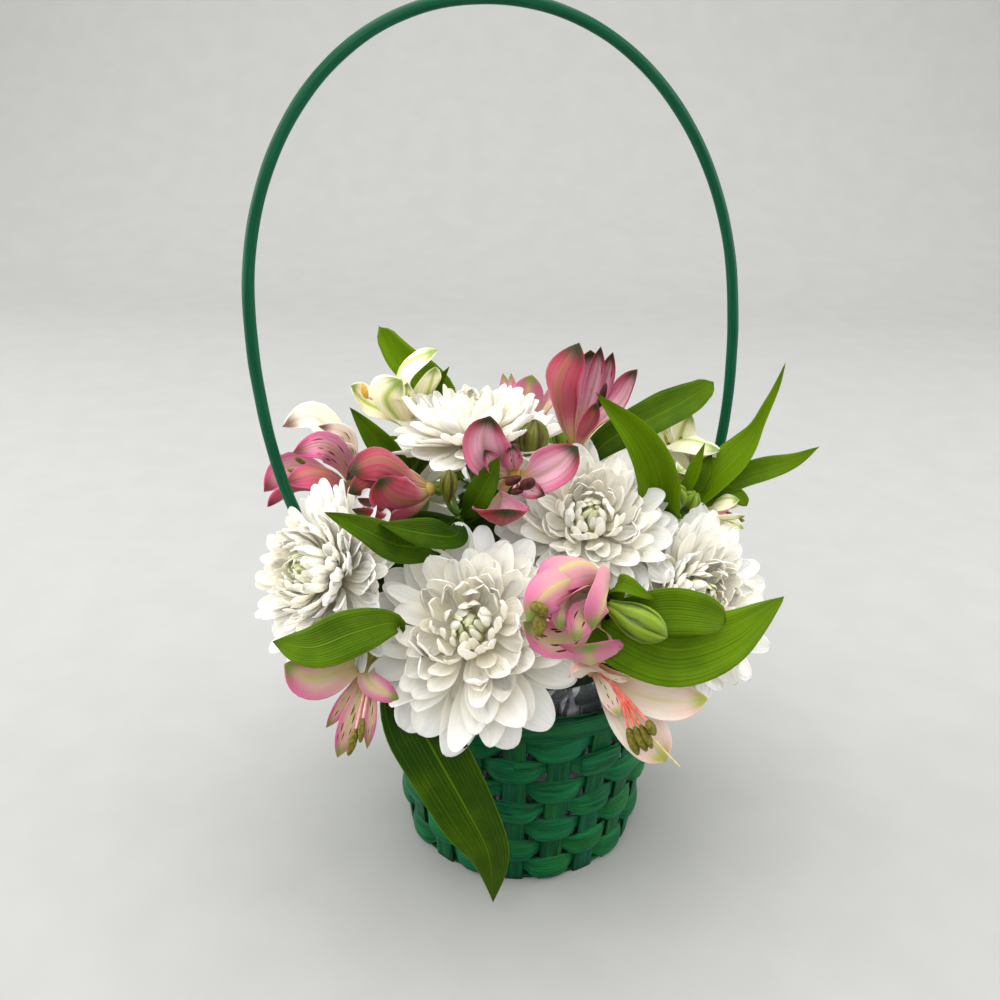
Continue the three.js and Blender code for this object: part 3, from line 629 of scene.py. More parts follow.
@dataclass(frozen=True)
class TepalFinish:
    """A peruvian lily's tepals: tinted rim, pale throat, dashed streaks, veined back and coloured tips."""

    name: str
    body: Colour
    rim: Colour
    throat: Colour
    back: Colour
    vein: Colour
    flush: Colour = (0.72, 0.06, 0.24)
    tip: Colour = (0.035, 0.075, 0.012)
    rib: Colour = (0.33, 0.44, 0.06)
    dash: Colour = (0.09, 0.008, 0.012)
    cream: Colour = (0.90, 0.875, 0.70)
    flush_share: float = 0.6
    rib_share: float = 0.5
    tip_share: float = 0.9
    vein_share: float = 0.4

    def make(self) -> Material:
        """Wires the material.

        Returns:
            The material.
        """
        n = Nodes(self.name)
        u, v = n.across_along()
        tone, kind, side, depth = n.trait("tone"), n.trait("kind"), n.trait("side"), n.trait("depth")
        out = n.from_middle(u)
        behind = n.band(side, 0.6, 0.4)
        pale = n.band(depth, 0.5, 1.0)
        keep = n.math("SUBTRACT", 1.0, n.times(pale, 0.85))
        colour = n.mix(n.band(v, 0.06, 0.45), self.throat, self.body)
        colour = n.mix(n.times(n.band(out, 0.25, 0.95), n.band(v, 0.2, 0.6), 0.8), colour, self.rim)
        backed = n.times(behind, n.band(v, 0.08, 0.38), n.band(out, 1.0, 0.78, 0.9))
        colour = n.mix(backed, colour, self.back)
        colour = n.mix(pale, colour, self.cream)
        fibre = n.grain(n.times(u, 30.0), n.times(v, 1.6), n.times(tone, 37.0))
        lines = n.math("SINE", n.math("MULTIPLY_ADD", u, TAU * 8, n.times(fibre, 3.0)))
        veins = n.math("MULTIPLY_ADD", lines, 0.17, fibre)
        strong = n.times(n.math("MULTIPLY_ADD", behind, 0.3, self.vein_share), keep)
        colour = n.mix(n.times(n.band(veins, 0.5, 0.85), strong), colour, self.vein)
        rib = n.times(n.band(out, 0.26, 0.02), n.band(v, 0.10, 0.4), self.rib_share)
        colour = n.mix(rib, colour, self.rib)
        flushed = n.times(n.band(v, 0.50, 0.93), n.band(out, -0.2, 0.6), keep, self.flush_share)
        colour = n.mix(flushed, colour, self.flush)
        spread = n.stretched(n.times(u, 9.0), n.times(v, 5.0), n.times(tone, 23.0))
        dashes = n.band(n.cells(spread), 0.30, 0.20)
        where = n.times(n.band(v, 0.22, 0.36), n.band(v, 0.86, 0.72), n.band(out, 0.9, 0.7))
        dashed = n.times(dashes, where, n.band(kind, 0.4, 0.6), n.math("SUBTRACT", 1.0, behind))
        colour = n.mix(dashed, colour, self.dash)
        end = n.math("MULTIPLY_ADD", fibre, 0.08, v)
        tip = n.times(n.band(end, 0.77, 0.95), n.band(out, 1.1, 0.55), self.tip_share)
        colour = n.mix(tip, colour, self.tip)
        return n.close(
            colour, 0.45, veins, 0.14,
            Subsurface_Weight=0.2, Subsurface_Radius=(0.002, 0.0013, 0.0011), Subsurface_Scale=1.0,
            Sheen_Weight=0.03, Specular_IOR_Level=0.14,
        )


@dataclass(frozen=True)
class LeafFinish:
    """Smooth leaves with fine parallel veins, a thin pale edge and a paler underside."""

    name: str = "lily_leaf"
    dark: Colour = (0.010, 0.034, 0.0012)
    bright: Colour = (0.100, 0.185, 0.0012)
    pale: Colour = (0.13, 0.225, 0.006)
    under: Colour = (0.070, 0.128, 0.006)
    lines: float = 17.0

    def make(self) -> Material:
        """Wires the material.

        Returns:
            The material.
        """
        n = Nodes(self.name)
        u, v = n.across_along()
        tone, side = n.trait("tone"), n.trait("side")
        out = n.from_middle(u)
        cloud = n.noise(n.place(), 60.0, 3.0)
        fibre = n.grain(n.times(u, 46.0), n.times(v, 2.5), n.times(tone, 31.0))
        lines = n.math("SINE", n.times(u, TAU * self.lines))
        veins = n.math("MULTIPLY_ADD", lines, 0.22, fibre)
        # Each leaf's own tone, plus a painted highlight that brightens it towards the tip.
        tone_and_tip_highlight = n.math("MULTIPLY_ADD", v, 0.4, n.math("SUBTRACT", tone, 0.46))
        shift = n.math("MULTIPLY_ADD", cloud, 0.7, tone_and_tip_highlight)
        colour = n.mix(n.band(shift, -0.05, 1.05), self.dark, self.bright)
        colour = n.mix(n.band(veins, 0.55, 0.86, 0.16), colour, self.pale)
        colour = n.mix(n.band(veins, 0.42, 0.16, 0.38), colour, self.dark)
        colour = n.mix(n.band(out, 0.05, 0.015, 0.4), colour, self.pale)
        colour = n.mix(n.band(side, 0.6, 0.4, 0.5), colour, self.under)
        colour = n.mix(n.band(out, 0.965, 0.992, 0.5), colour, self.pale)
        rough = n.math("MULTIPLY_ADD", fibre, 0.2, 0.34)
        return n.close(
            colour, rough, veins, 0.2,
            Subsurface_Weight=0.05, Subsurface_Radius=(0.001, 0.0016, 0.0005), Subsurface_Scale=1.0,
            Specular_IOR_Level=0.045,
        )


@dataclass(frozen=True)
class ChipFinish:
    """Dyed wood chip: fine lengthwise grain with lighter and darker streaks, strip by strip its own hue."""

    name: str
    dark: Colour
    mid: Colour
    light: Colour
    teal: Colour = (0.003, 0.085, 0.048)
    leafy: Colour = (0.012, 0.105, 0.014)
    roughness: float = 0.40

    def make(self) -> Material:
        """Wires the material.

        Returns:
            The material.
        """
        n = Nodes(self.name)
        u, v = n.across_along()
        tone = n.trait("tone")
        shift = n.times(tone, 57.0)
        fine = n.grain(n.times(u, 30.0), n.times(v, 0.5), shift, detail=4.0)
        broad = n.grain(n.times(u, 5.0), n.times(v, 0.45), shift)
        hue = n.grain(n.times(u, 1.2), n.times(v, 0.28), n.times(tone, 91.0), detail=2.0)
        colour = n.mix(n.band(broad, 0.3, 0.68), self.dark, self.mid)
        colour = n.mix(n.band(hue, 0.52, 0.68, 0.55), colour, self.teal)
        colour = n.mix(n.band(hue, 0.46, 0.34, 0.5), colour, self.leafy)
        colour = n.mix(n.band(fine, 0.50, 0.78, 0.7), colour, self.light)
        colour = n.mix(n.band(fine, 0.46, 0.26, 0.8), colour, self.dark)
        out = n.from_middle(u)
        colour = n.mix(n.band(out, 0.90, 1.0, 0.75), colour, self.dark)
        rough = n.math("MULTIPLY_ADD", fine, 0.22, self.roughness - 0.1)
        return n.close(colour, rough, fine, 0.4, Specular_IOR_Level=0.09)


@dataclass(frozen=True)
class CaneFinish:
    """Bent cane under a glossy green dye, with long fine streaks."""

    name: str = "cane_green"
    dark: Colour = (0.0015, 0.050, 0.021)
    light: Colour = (0.003, 0.088, 0.036)

    def make(self) -> Material:
        """Wires the material.

        Returns:
            The material.
        """
        n = Nodes(self.name)
        u, v = n.across_along()
        turn = n.times(u, TAU)
        wrapped = n.stretched(n.math("COSINE", turn), n.math("SINE", turn), n.times(v, 0.06))
        fine = n.noise(wrapped, 9.0, 4.0)
        colour = n.mix(n.band(fine, 0.35, 0.7), self.dark, self.light)
        rough = n.math("MULTIPLY_ADD", fine, 0.2, 0.24)
        return n.close(colour, rough, fine, 0.12, Specular_IOR_Level=0.13)


@dataclass(frozen=True)
class GreenFinish:
    """Stems, seed cases and buds: lengthwise ribs, from olive to fresh green."""

    name: str
    base: Colour
    groove: Colour
    crown: Colour
    ribs: float = 6.0

    def make(self) -> Material:
        """Wires the material.

        Returns:
            The material.
        """
        n = Nodes(self.name)
        u, v = n.across_along()
        tone, depth = n.trait("tone"), n.trait("depth")
        wave = n.math("COSINE", n.times(u, TAU * self.ribs))
        speck = n.noise(n.place(), 420.0, 3.0)
        streak = n.grain(n.times(u, 24.0), n.times(v, 0.8), n.times(tone, 19.0))
        height = n.math("MULTIPLY_ADD", wave, 0.35, streak)
        colour = n.mix(n.band(height, 0.6, 0.1), self.base, self.groove)
        colour = n.mix(n.times(depth, n.band(streak, 0.3, 0.6)), colour, self.crown)
        colour = n.mix(n.band(speck, 0.55, 0.8, 0.3), colour, self.groove)
        return n.close(
            colour, 0.42, height, 0.2,
            Subsurface_Weight=0.05, Subsurface_Radius=(0.001, 0.0014, 0.0005), Subsurface_Scale=1.0,
            Specular_IOR_Level=0.25,
        )


@dataclass(frozen=True)
class PlainFinish:
    """A grained single hue, for anthers, filaments and styles."""

    name: str
    base: Colour
    accent: Colour
    scale: float = 900.0
    roughness: float = 0.6

    def make(self) -> Material:
        """Wires the material.

        Returns:
            The material.
        """
        n = Nodes(self.name)
        grain = n.noise(n.place(), self.scale, 3.0)
        colour = n.mix(n.band(grain, 0.35, 0.7), self.base, self.accent)
        return n.close(colour, self.roughness, grain, 0.2, Specular_IOR_Level=0.2)


@dataclass(frozen=True)
class FoamFinish:
    """Wet foam: dark green, finely pitted."""

    name: str = "wet_foam"
    base: Colour = (0.008, 0.030, 0.012)
    pit: Colour = (0.002, 0.010, 0.005)

    def make(self) -> Material:
        """Wires the material.

        Returns:
            The material.
        """
        n = Nodes(self.name)
        pits = n.cells(n.place(), 900.0)
        cloud = n.noise(n.place(), 90.0, 3.0)
        colour = n.mix(n.band(pits, 0.45, 0.1), self.base, self.pit)
        colour = n.mix(n.band(cloud, 0.4, 0.8, 0.5), colour, self.pit)
        return n.close(colour, n.math("MULTIPLY_ADD", cloud, 0.4, 0.45), pits, 0.5, Specular_IOR_Level=0.2)


@dataclass(frozen=True)
class FilmFinish:
    """Clear crinkled film, mostly see-through: painted reflections make it pale on its folds and sharply
    along its creases.
    """

    name: str = "clear_film"
    # These colours show mostly where the painted reflections make the film opaque.
    tint: Colour = (0.50, 0.50, 0.60)
    bright: Colour = (0.78, 0.78, 0.86)

    def make(self) -> Material:
        """Wires the material.

        Returns:
            The material.
        """
        n = Nodes(self.name)
        u, v = n.across_along()
        crease = n.cells(n.place(), 55.0, "DISTANCE_TO_EDGE")
        fine = n.noise(n.place(), 260.0, 2.0)
        fold = n.grain(n.times(u, 1.6), n.times(v, 0.5), detail=2.0)
        height = n.math("MULTIPLY_ADD", fine, 0.25, n.band(crease, 0.0, 0.25))
        colour = n.mix(n.band(fine, 0.3, 0.7), self.tint, self.bright)
        # Painted reflections: the film turns opaque on its folds and along its creases.
        painted_glints = n.math("MAXIMUM", n.band(fold, 0.50, 0.58, 0.55), n.band(crease, 0.03, 0.0, 0.15))
        n.put(n.math("ADD", painted_glints, 0.08), n.shader.inputs["Alpha"])
        rough = n.math("MULTIPLY_ADD", fine, 0.1, 0.08)
        return n.close(colour, rough, height, 1.2, Specular_IOR_Level=0.5)


class Finish(Protocol):
    """Anything that can make a material."""

    def make(self) -> Material:
        """Builds the material."""


@cache
def material_of(finish: Finish) -> Material:
    """The material of a finish, made when it is first asked for."""
    return finish.make()


def settle(skin: Skin, slot: str, finishes: Sequence[Finish], *nodes: str) -> None:
    """Builds a piece, rides it on the basket and reports it.

    Args:
        skin: its mesh.
        slot: the name of its main finish; not used.
        finishes: one for each slot that its lofts name.
        nodes: the solids that it stands for, which it hides.
    """
    piece = skin.build([material_of(finish) for finish in finishes])
    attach(piece, "root")
    if nodes:
        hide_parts(*nodes)
    log.info("%s: %d faces", piece.name, len(piece.data.polygons))


STAKE_CHIP = ChipFinish("chip_stake", (0.001, 0.032, 0.011), (0.002, 0.076, 0.024), (0.010, 0.170, 0.055))
WEAVER_CHIP = ChipFinish("chip_weaver", (0.001, 0.044, 0.015), (0.003, 0.118, 0.033), (0.012, 0.250, 0.080))
RIM_CHIP = ChipFinish("chip_rim", (0.002, 0.044, 0.017), (0.004, 0.108, 0.038), (0.012, 0.205, 0.078))
STEM_GREEN = GreenFinish("bloom_stem", (0.055, 0.125, 0.010), (0.02, 0.055, 0.004), (0.16, 0.29, 0.02))
BUD_GREEN = GreenFinish("bud_green", (0.095, 0.175, 0.006), (0.020, 0.042, 0.003), (0.22, 0.31, 0.012))
BUD_BROWN = GreenFinish("bud_brown", (0.070, 0.078, 0.008), (0.045, 0.012, 0.006), (0.17, 0.20, 0.018))
OLIVE_ANTHER = PlainFinish("anther_olive", (0.09, 0.075, 0.008), (0.19, 0.165, 0.018))
DARK_ANTHER = PlainFinish("anther_maroon", (0.030, 0.004, 0.006), (0.075, 0.014, 0.010))
AMBER_ANTHER = PlainFinish("anther_amber", (0.66, 0.36, 0.06), (0.80, 0.50, 0.12))
PALE_STYLE = PlainFinish("style_pale", (0.52, 0.46, 0.16), (0.66, 0.60, 0.34), 500.0, 0.45)
CORAL_FILAMENT = PlainFinish("filament_coral", (0.66, 0.10, 0.07), (0.76, 0.22, 0.16), 500.0, 0.45)
PINK_FILAMENT = PlainFinish("filament_pink", (0.72, 0.28, 0.30), (0.80, 0.55, 0.42), 500.0, 0.45)

DEEP_PINK = TepalFinish(
    "tepal_deep_pink", (0.66, 0.37, 0.46), (0.48, 0.052, 0.17), (0.46, 0.34, 0.08), (0.30, 0.032, 0.048),
    (0.16, 0.008, 0.020), flush=(0.20, 0.006, 0.016), tip=(0.022, 0.028, 0.008), rib=(0.20, 0.13, 0.03),
    rib_share=0.45, flush_share=0.95, vein_share=0.3, tip_share=1.0,
)
SALMON = TepalFinish(
    "tepal_salmon_pink", (0.52, 0.27, 0.32), (0.42, 0.08, 0.23), (0.44, 0.33, 0.10), (0.30, 0.075, 0.065),
    (0.30, 0.03, 0.04), rib=(0.42, 0.24, 0.08), rib_share=0.3, tip=(0.10, 0.02, 0.012),
    dash=(0.16, 0.02, 0.01),
)
PALE_PINK = TepalFinish(
    "tepal_pale_pink", (0.56, 0.41, 0.31), (0.48, 0.09, 0.24), (0.44, 0.44, 0.08), (0.50, 0.22, 0.26),
    (0.56, 0.26, 0.16), flush=(0.50, 0.045, 0.23), rib=(0.42, 0.46, 0.10), rib_share=0.6, vein_share=0.25,
    tip=(0.12, 0.22, 0.02), flush_share=0.85,
)
BLUSH_WHITE = TepalFinish(
    "tepal_blush_white", (0.66, 0.58, 0.48), (0.74, 0.66, 0.58), (0.44, 0.22, 0.10), (0.74, 0.52, 0.46),
    (0.60, 0.42, 0.28), flush=(0.70, 0.24, 0.28), rib=(0.52, 0.50, 0.14), rib_share=0.35, vein_share=0.28,
    tip=(0.30, 0.36, 0.04), flush_share=0.5,
)
CREAM = TepalFinish(
    "tepal_cream", (0.82, 0.78, 0.56), (0.86, 0.83, 0.68), (0.70, 0.64, 0.20), (0.80, 0.76, 0.52),
    (0.60, 0.58, 0.14), flush=(0.86, 0.82, 0.68), rib=(0.34, 0.46, 0.04), rib_share=0.85, vein_share=0.3,
    tip=(0.16, 0.26, 0.03), dash=(0.36, 0.12, 0.03), flush_share=0.2,
)


# ---------------------------------------------------------------- basket
@dataclass(frozen=True)
class Wall:
    """The flared wall, in millimetres.

    The strips swing inward by `swing`, are twice `half_strip` thick and leave `gap` free inside.
    """

    base: float = 51.5
    rim: float = 61.5
    height: float = 90.0
    swing: float = 1.9
    half_strip: float = 0.6
    gap: float = 0.35

    def radius(self, z: Array | float) -> Array | float:
        """Radius of the middle of the stakes at a height."""
        return self.base + (self.rim - self.base) * np.asarray(z) / self.height

    def inside(self, z: Array | float) -> Array | float:
        """Radius that is clear inside the weave at a height."""
        return self.radius(z) - self.swing - self.half_strip - self.gap

    def outward(self, angle: Array) -> Array:
        """The wall's outward normal at each angle."""
        return unit(hoop(1.0, angle, -(self.rim - self.base) / self.height))


WALL = Wall()

# Millimetres: the cane, the room between the weave and its legs, and that between its legs and the film.
CANE_RADIUS = 2.3
CANE_GAP = 1.0
FILM_GAP = 0.9
HANDLE_TURN = math.radians(17.9)


@dataclass
class ChipBasket:
    """The woven wall, its base board and its rim, in millimetres.

    A ring of the board is a radius and a height. A strip of the rim is a height, half its width, and how
    far it stands off the stakes.
    """

    stakes: int = 20
    first_stake: float = math.radians(-94.6)
    stake_width: float = 10.0
    stake_steps: int = 26
    chip: float = 1.0
    rows: int = 7
    row_pitch: float = 11.3
    first_row: float = 7.6
    row_steps: int = 16
    swing: float = 2.1
    full_half: float = 6.2
    pinched_half: float = 3.4
    board: Sequence[tuple[float, float]] = (
        (0.05, 0.05), (30.0, 0.0), (50.6, 0.0), (51.2, 0.4), (51.2, 1.3), (50.6, 1.6), (30.0, 1.7),
    )
    board_corners: int = 80
    rim_steps: int = 240
    outer_strips: Sequence[Triple] = ((81.6, 1.9, 1.35), (85.9, 3.1, 1.9), (89.4, 0.9, 1.55))
    inner_strips: Sequence[Triple] = ((84.4, 2.6, -1.5), (88.6, 1.3, -1.5))
    rng: np.random.Generator = field(default_factory=lambda: np.random.default_rng(5))

    def frame(self) -> None:
        """Builds the base board and the upright stakes."""
        skin = Skin("basket_stakes")
        for k in range(self.stakes):
            angle = self.first_stake + k * TAU / self.stakes
            z = np.linspace(0.0, WALL.height - 0.35, self.stake_steps)
            sway = 0.35 * np.sin(z / WALL.height * 5 + self.rng.uniform(0, 6)) * smooth(z, 0, 20)
            spine = hoop(WALL.radius(z), angle + sway / WALL.radius(z), z)
            half = self.stake_width / 2 * (1 - 0.04 * self.rng.random(len(z)).cumsum() / len(z))
            skin.blade(
                spine, WALL.outward(np.array([angle]))[0], half, np.full_like(z, -0.07), self.chip, 7,
                edge=8.0, v=z / 10, pointed=False, traits=Traits(tone=self.rng.random()),
            )
        loops = hoops(self.board, self.board_corners)[:, ::-1]
        skin.loft(loops, np.linspace(0, 6, self.board_corners + 1), np.array([r / 10 for r, _ in self.board]))
        settle(skin, "chip_stake", [STAKE_CHIP], "basket_frame")

    def weavers(self) -> None:
        """Builds the rows that pass outside one stake and inside the next."""
        count = self.stakes * self.row_steps
        angle = np.arange(count) * TAU / count + self.first_stake
        station = (angle - self.first_stake) / (TAU / self.stakes)
        for row in range(self.rows):
            skin = Skin(f"weaver_{row + 1}")
            over = np.cos(math.pi * (station + row + 1))
            out = self.swing * np.sign(over) * np.abs(over) ** 0.6
            drift = sum(
                self.rng.uniform(0.12, 0.3) * np.sin(angle * f + self.rng.uniform(0, 6)) for f in (2, 5, 9)
            )
            uneven = self._evened(np.repeat(self.rng.normal(0, 1.0, self.stakes), self.row_steps))
            shown = smooth(over, -0.7, 0.75)
            z = self.first_row + row * self.row_pitch + 0.5 * drift - 0.8 * shown + 0.35 * uneven * shown
            half = self.pinched_half + (self.full_half - self.pinched_half) * shown + 0.22 * uneven
            low = z.min() - self.full_half
            spine = hoop(WALL.radius(z) + out, angle, z - min(0.0, low - 0.4))
            lean = 0.13 * shown[:, None] * UP
            curl = -0.38 * shown + 0.10 * (1 - shown)
            run = np.arange(count + 1) * (TAU * float(WALL.radius(z.mean())) / count) / 10
            skin.blade(
                spine, WALL.outward(angle) + lean, half, curl, self.chip, 11,
                edge=7.0, v=run, pointed=False, ring=True, traits=Traits(tone=self.rng.random()),
            )
            self._lap(skin, row, float(z.mean()))
            settle(skin, "chip_weaver", [WEAVER_CHIP], f"weaver_row_{row + 1}")

    def _evened(self, steps: Array) -> Array:
        """Rounds off the steps of a value that goes round the wall.

        Args:
            steps: the value, stake by stake.

        Returns:
            Its mean over the width of a stake and the gap beside it.
        """
        reach = self.row_steps // 2
        around = np.concatenate([steps[-reach:], steps, steps[:reach]])
        span = 2 * reach + 1
        return np.convolve(around, np.ones(span) / span, "valid")

    def _lap(self, skin: Skin, row: int, z: float) -> None:
        """Lays the strip's tucked end over its start, outside a stake.

        Args:
            skin: what it is added to.
            row: the strip's row, from 0 at the bottom.
            z: the height of its middle.
        """
        k = int(self.rng.integers(self.stakes) // 2 * 2) + (row + 1) % 2
        middle = self.first_stake + k * TAU / self.stakes
        along = np.linspace(-1, 1, 16)
        out = self.swing + 1.05 - 0.9 * along**4
        angle = middle + 0.16 * along
        half = (self.full_half - 0.9) * (1.0 - 0.18 * along**2)
        skin.blade(
            hoop(WALL.radius(z) + out, angle, z + 0.2), WALL.outward(angle), half, np.full(16, -0.34), 0.7, 9,
            edge=7.0, v=np.linspace(0, 1.8, 16), pointed=False, traits=Traits(tone=self.rng.random()),
        )

    def rim(self) -> None:
        """Builds the strips that clamp the stakes' tops, outside and in."""
        count = self.rim_steps
        angle = np.arange(count) * TAU / count
        run = np.arange(count + 1) * (TAU * WALL.rim / count) / 10
        for name, strips in (("outer", self.outer_strips), ("inner", self.inner_strips)):
            skin = Skin(f"rim_{name}_strips")
            for i, (level, width, stand) in enumerate(strips):
                wave = 0.4 * np.sin(angle * (3 + i) + i * 2.1) + 0.25 * np.sin(angle * (7 + 2 * i) + i)
                z = np.minimum(level + wave, WALL.height + 1.6 - width)
                radius = WALL.radius(z) + stand + 0.15 * np.sin(angle * 11 + i)
                half = width * (1.0 + 0.06 * np.sin(angle * 5 + i))
                facing = WALL.outward(angle) * np.sign(stand)
                skin.blade(
                    hoop(radius, angle, z), facing, half, np.full(count, -0.3), 0.8, 9,
                    edge=6.0, v=run, pointed=False, ring=True, traits=Traits(tone=self.rng.random()),
                )
            settle(skin, "chip_rim", [RIM_CHIP], f"rim_hoop_{name}")

    def build(self) -> None:
        """Builds the whole basket."""
        self.frame()
        self.weavers()
        self.rim()


@dataclass
class CaneHandle:
    """The tall arch of round cane, in millimetres."""

    top: float = 350.0
    half_width: float = 98.8
    widest: float = 228.0
    rim: float = 94.0
    knee: float = 66.0
    foot: float = 42.0
    lean: float = -0.076
    power: float = 2 / 2.08
    steps: int = 260

    def leg(self, z: float) -> float:
        """How far a leg stands from the axis inside the wall."""
        return WALL.inside(z) - CANE_RADIUS - CANE_GAP

    def half(self) -> list[tuple[float, float]]:
        """The right half of the arch.

        Returns:
            [distance, height] pairs from the foot up.
        """
        points = [(self.leg(z), z) for z in (self.foot, self.knee)]
        for share in (1, 0.86, 0.72, 0.56, 0.4, 0.24, 0.1):
            draw = (self.half_width - self.leg(self.rim)) * share**2.5
            points.append((self.half_width - draw, self.widest - (self.widest - self.rim) * share))
        for degrees in range(0, 90, 13):
            angle = math.radians(degrees)
            rise = (self.top - self.widest) * math.sin(angle) ** self.power
            points.append((self.half_width * math.cos(angle) ** self.power, self.widest + rise))
        return points

    def place(self, x: float, z: float) -> tuple[float, float, float]:
        """A point of the flat arch, turned and leant into place."""
        shift = self.lean * max(0.0, z - WALL.height)
        return x * math.cos(HANDLE_TURN) + shift, x * math.sin(HANDLE_TURN), z

    def line(self) -> Array:
        """The cane's middle line.

        Returns:
            Its points, from one foot over the top to the other.
        """
        right = [self.place(x, z) for x, z in self.half()]
        left = [self.place(-x, z) for x, z in reversed(self.half())]
        return through([*right, self.place(0.0, self.top), *left], self.steps)

    def build(self) -> None:
        """Builds the cane."""
        station = np.arange(self.steps)
        swell = CANE_RADIUS * (1.0 + 0.02 * np.sin(station * 0.21) + 0.01 * np.sin(station * 0.77))
        skin = Skin("cane_handle")
        skin.tube(self.line(), swell, 20)
        settle(skin, "cane", [CaneFinish()], "handle")


# What the petals keep clear of.
CANE_LINE = CaneHandle().line()


@dataclass
class Filling:
    """The wet foam and the film cup round it, in millimetres; film is the cup's thickness."""

    foam_corners: int = 96
    foam_gap: float = 1.4
    crown: Sequence[tuple[float, float]] = (
        (46, 100.5), (40, 106), (33, 111), (24, 114.2), (12, 116.2), (3, 116.8),
    )
    film_corners: int = 320
    film_levels: Sequence[float] = (2.3, 20.0, 45.0, 70.0, 86.0, 90.0, 93.0, 96.0, 98.5, 101.0)
    film: float = 0.45

    @staticmethod
    def cup(z: Array | float) -> Array | float:
        """Radius of the film at a height."""
        return WALL.inside(np.minimum(z, WALL.height)) - 2 * CANE_RADIUS - CANE_GAP - FILM_GAP

    def block(self) -> None:
        """Builds the foam block."""
        rng = np.random.default_rng(3)
        count = self.foam_corners
        theta = np.linspace(0, TAU, count, endpoint=False)
        rings = [(float(self.cup(3)) - 1.6, 3.0)]
        rings += [(float(self.cup(z)) - self.foam_gap, z) for z in range(10, 96, 8)]
        rings += [(float(self.cup(90)) - self.foam_gap, 96.0), *self.crown]
        loops = []
        for radius, z in rings:
            dent = np.abs(rng.normal(0, 0.25, count))
            loops.append(hoop(radius - dent * (1 if z < 100 else 1.6), theta, z - dent))
        skin = Skin("foam_block")
        skin.loft(np.array(loops), np.linspace(0, 1, count + 1), np.array([z / 10 for _, z in rings]))
        settle(skin, "wet_foam", [FoamFinish()], "foam")

    def liner(self) -> None:
        """Builds the crinkled cup of film."""
        count = self.film_corners
        theta = np.arange(count) * TAU / count
        clear = np.sin(theta - HANDLE_TURN) ** 2
        folds = np.sin(theta * 6) + 0.45 * np.sin(theta * 23 + 1.0) + 0.25 * np.sin(theta * 41)
        loops = []
        for z in self.film_levels:
            rise = float(smooth(z, 88.0, 101.0))
            flare = (4.4 * rise + 1.5 * folds * rise) * clear
            inward = 0.25 * (np.sin(theta * 31 + z) - 1.0) * (1.0 - rise)
            loops.append(hoop(self.cup(z) + flare + inward, theta, z + 1.4 * folds * rise * clear))
        outer = np.array(loops)
        flat = np.linalg.norm(outer[..., :2], axis=2, keepdims=True)
        inner = outer.copy()
        inner[..., :2] *= (flat - self.film) / flat
        inner[0, :, 2] += 0.4
        v = np.concatenate([self.film_levels, self.film_levels[::-1]]) / 10
        skin = Skin("film_cup")
        skin.loft(np.concatenate([outer, inner[::-1]]), np.linspace(0, 40, count + 1), v)
        settle(skin, "clear_film", [FilmFinish()], "film_liner")

    def build(self) -> None:
        """Builds the foam and the film."""
        self.block()
        self.liner()


# ---------------------------------------------------------------- white blooms
@dataclass(frozen=True)
class PetalShape:
    """How a bloom's petals are cut and bent; a pair runs from the eye to the outermost ring."""

    length: float
    half: float
    cup: tuple[float, float]
    inward: tuple[float, float]
    hook: float
    blunt: float


class BloomForm(Enum):
    """The kinds of bloom."""

    SPOON = PetalShape(0.92, 0.192, (1.25, 0.60), (1.30, 0.10), 0.26, 0.60)
    FRINGED = PetalShape(0.90, 0.116, (1.05, 0.50), (1.15, -0.02), 0.30, 0.76)
    LAYERED = PetalShape(0.88, 0.180, (1.05, 0.50), (1.35, 0.14), 0.26, 0.60)


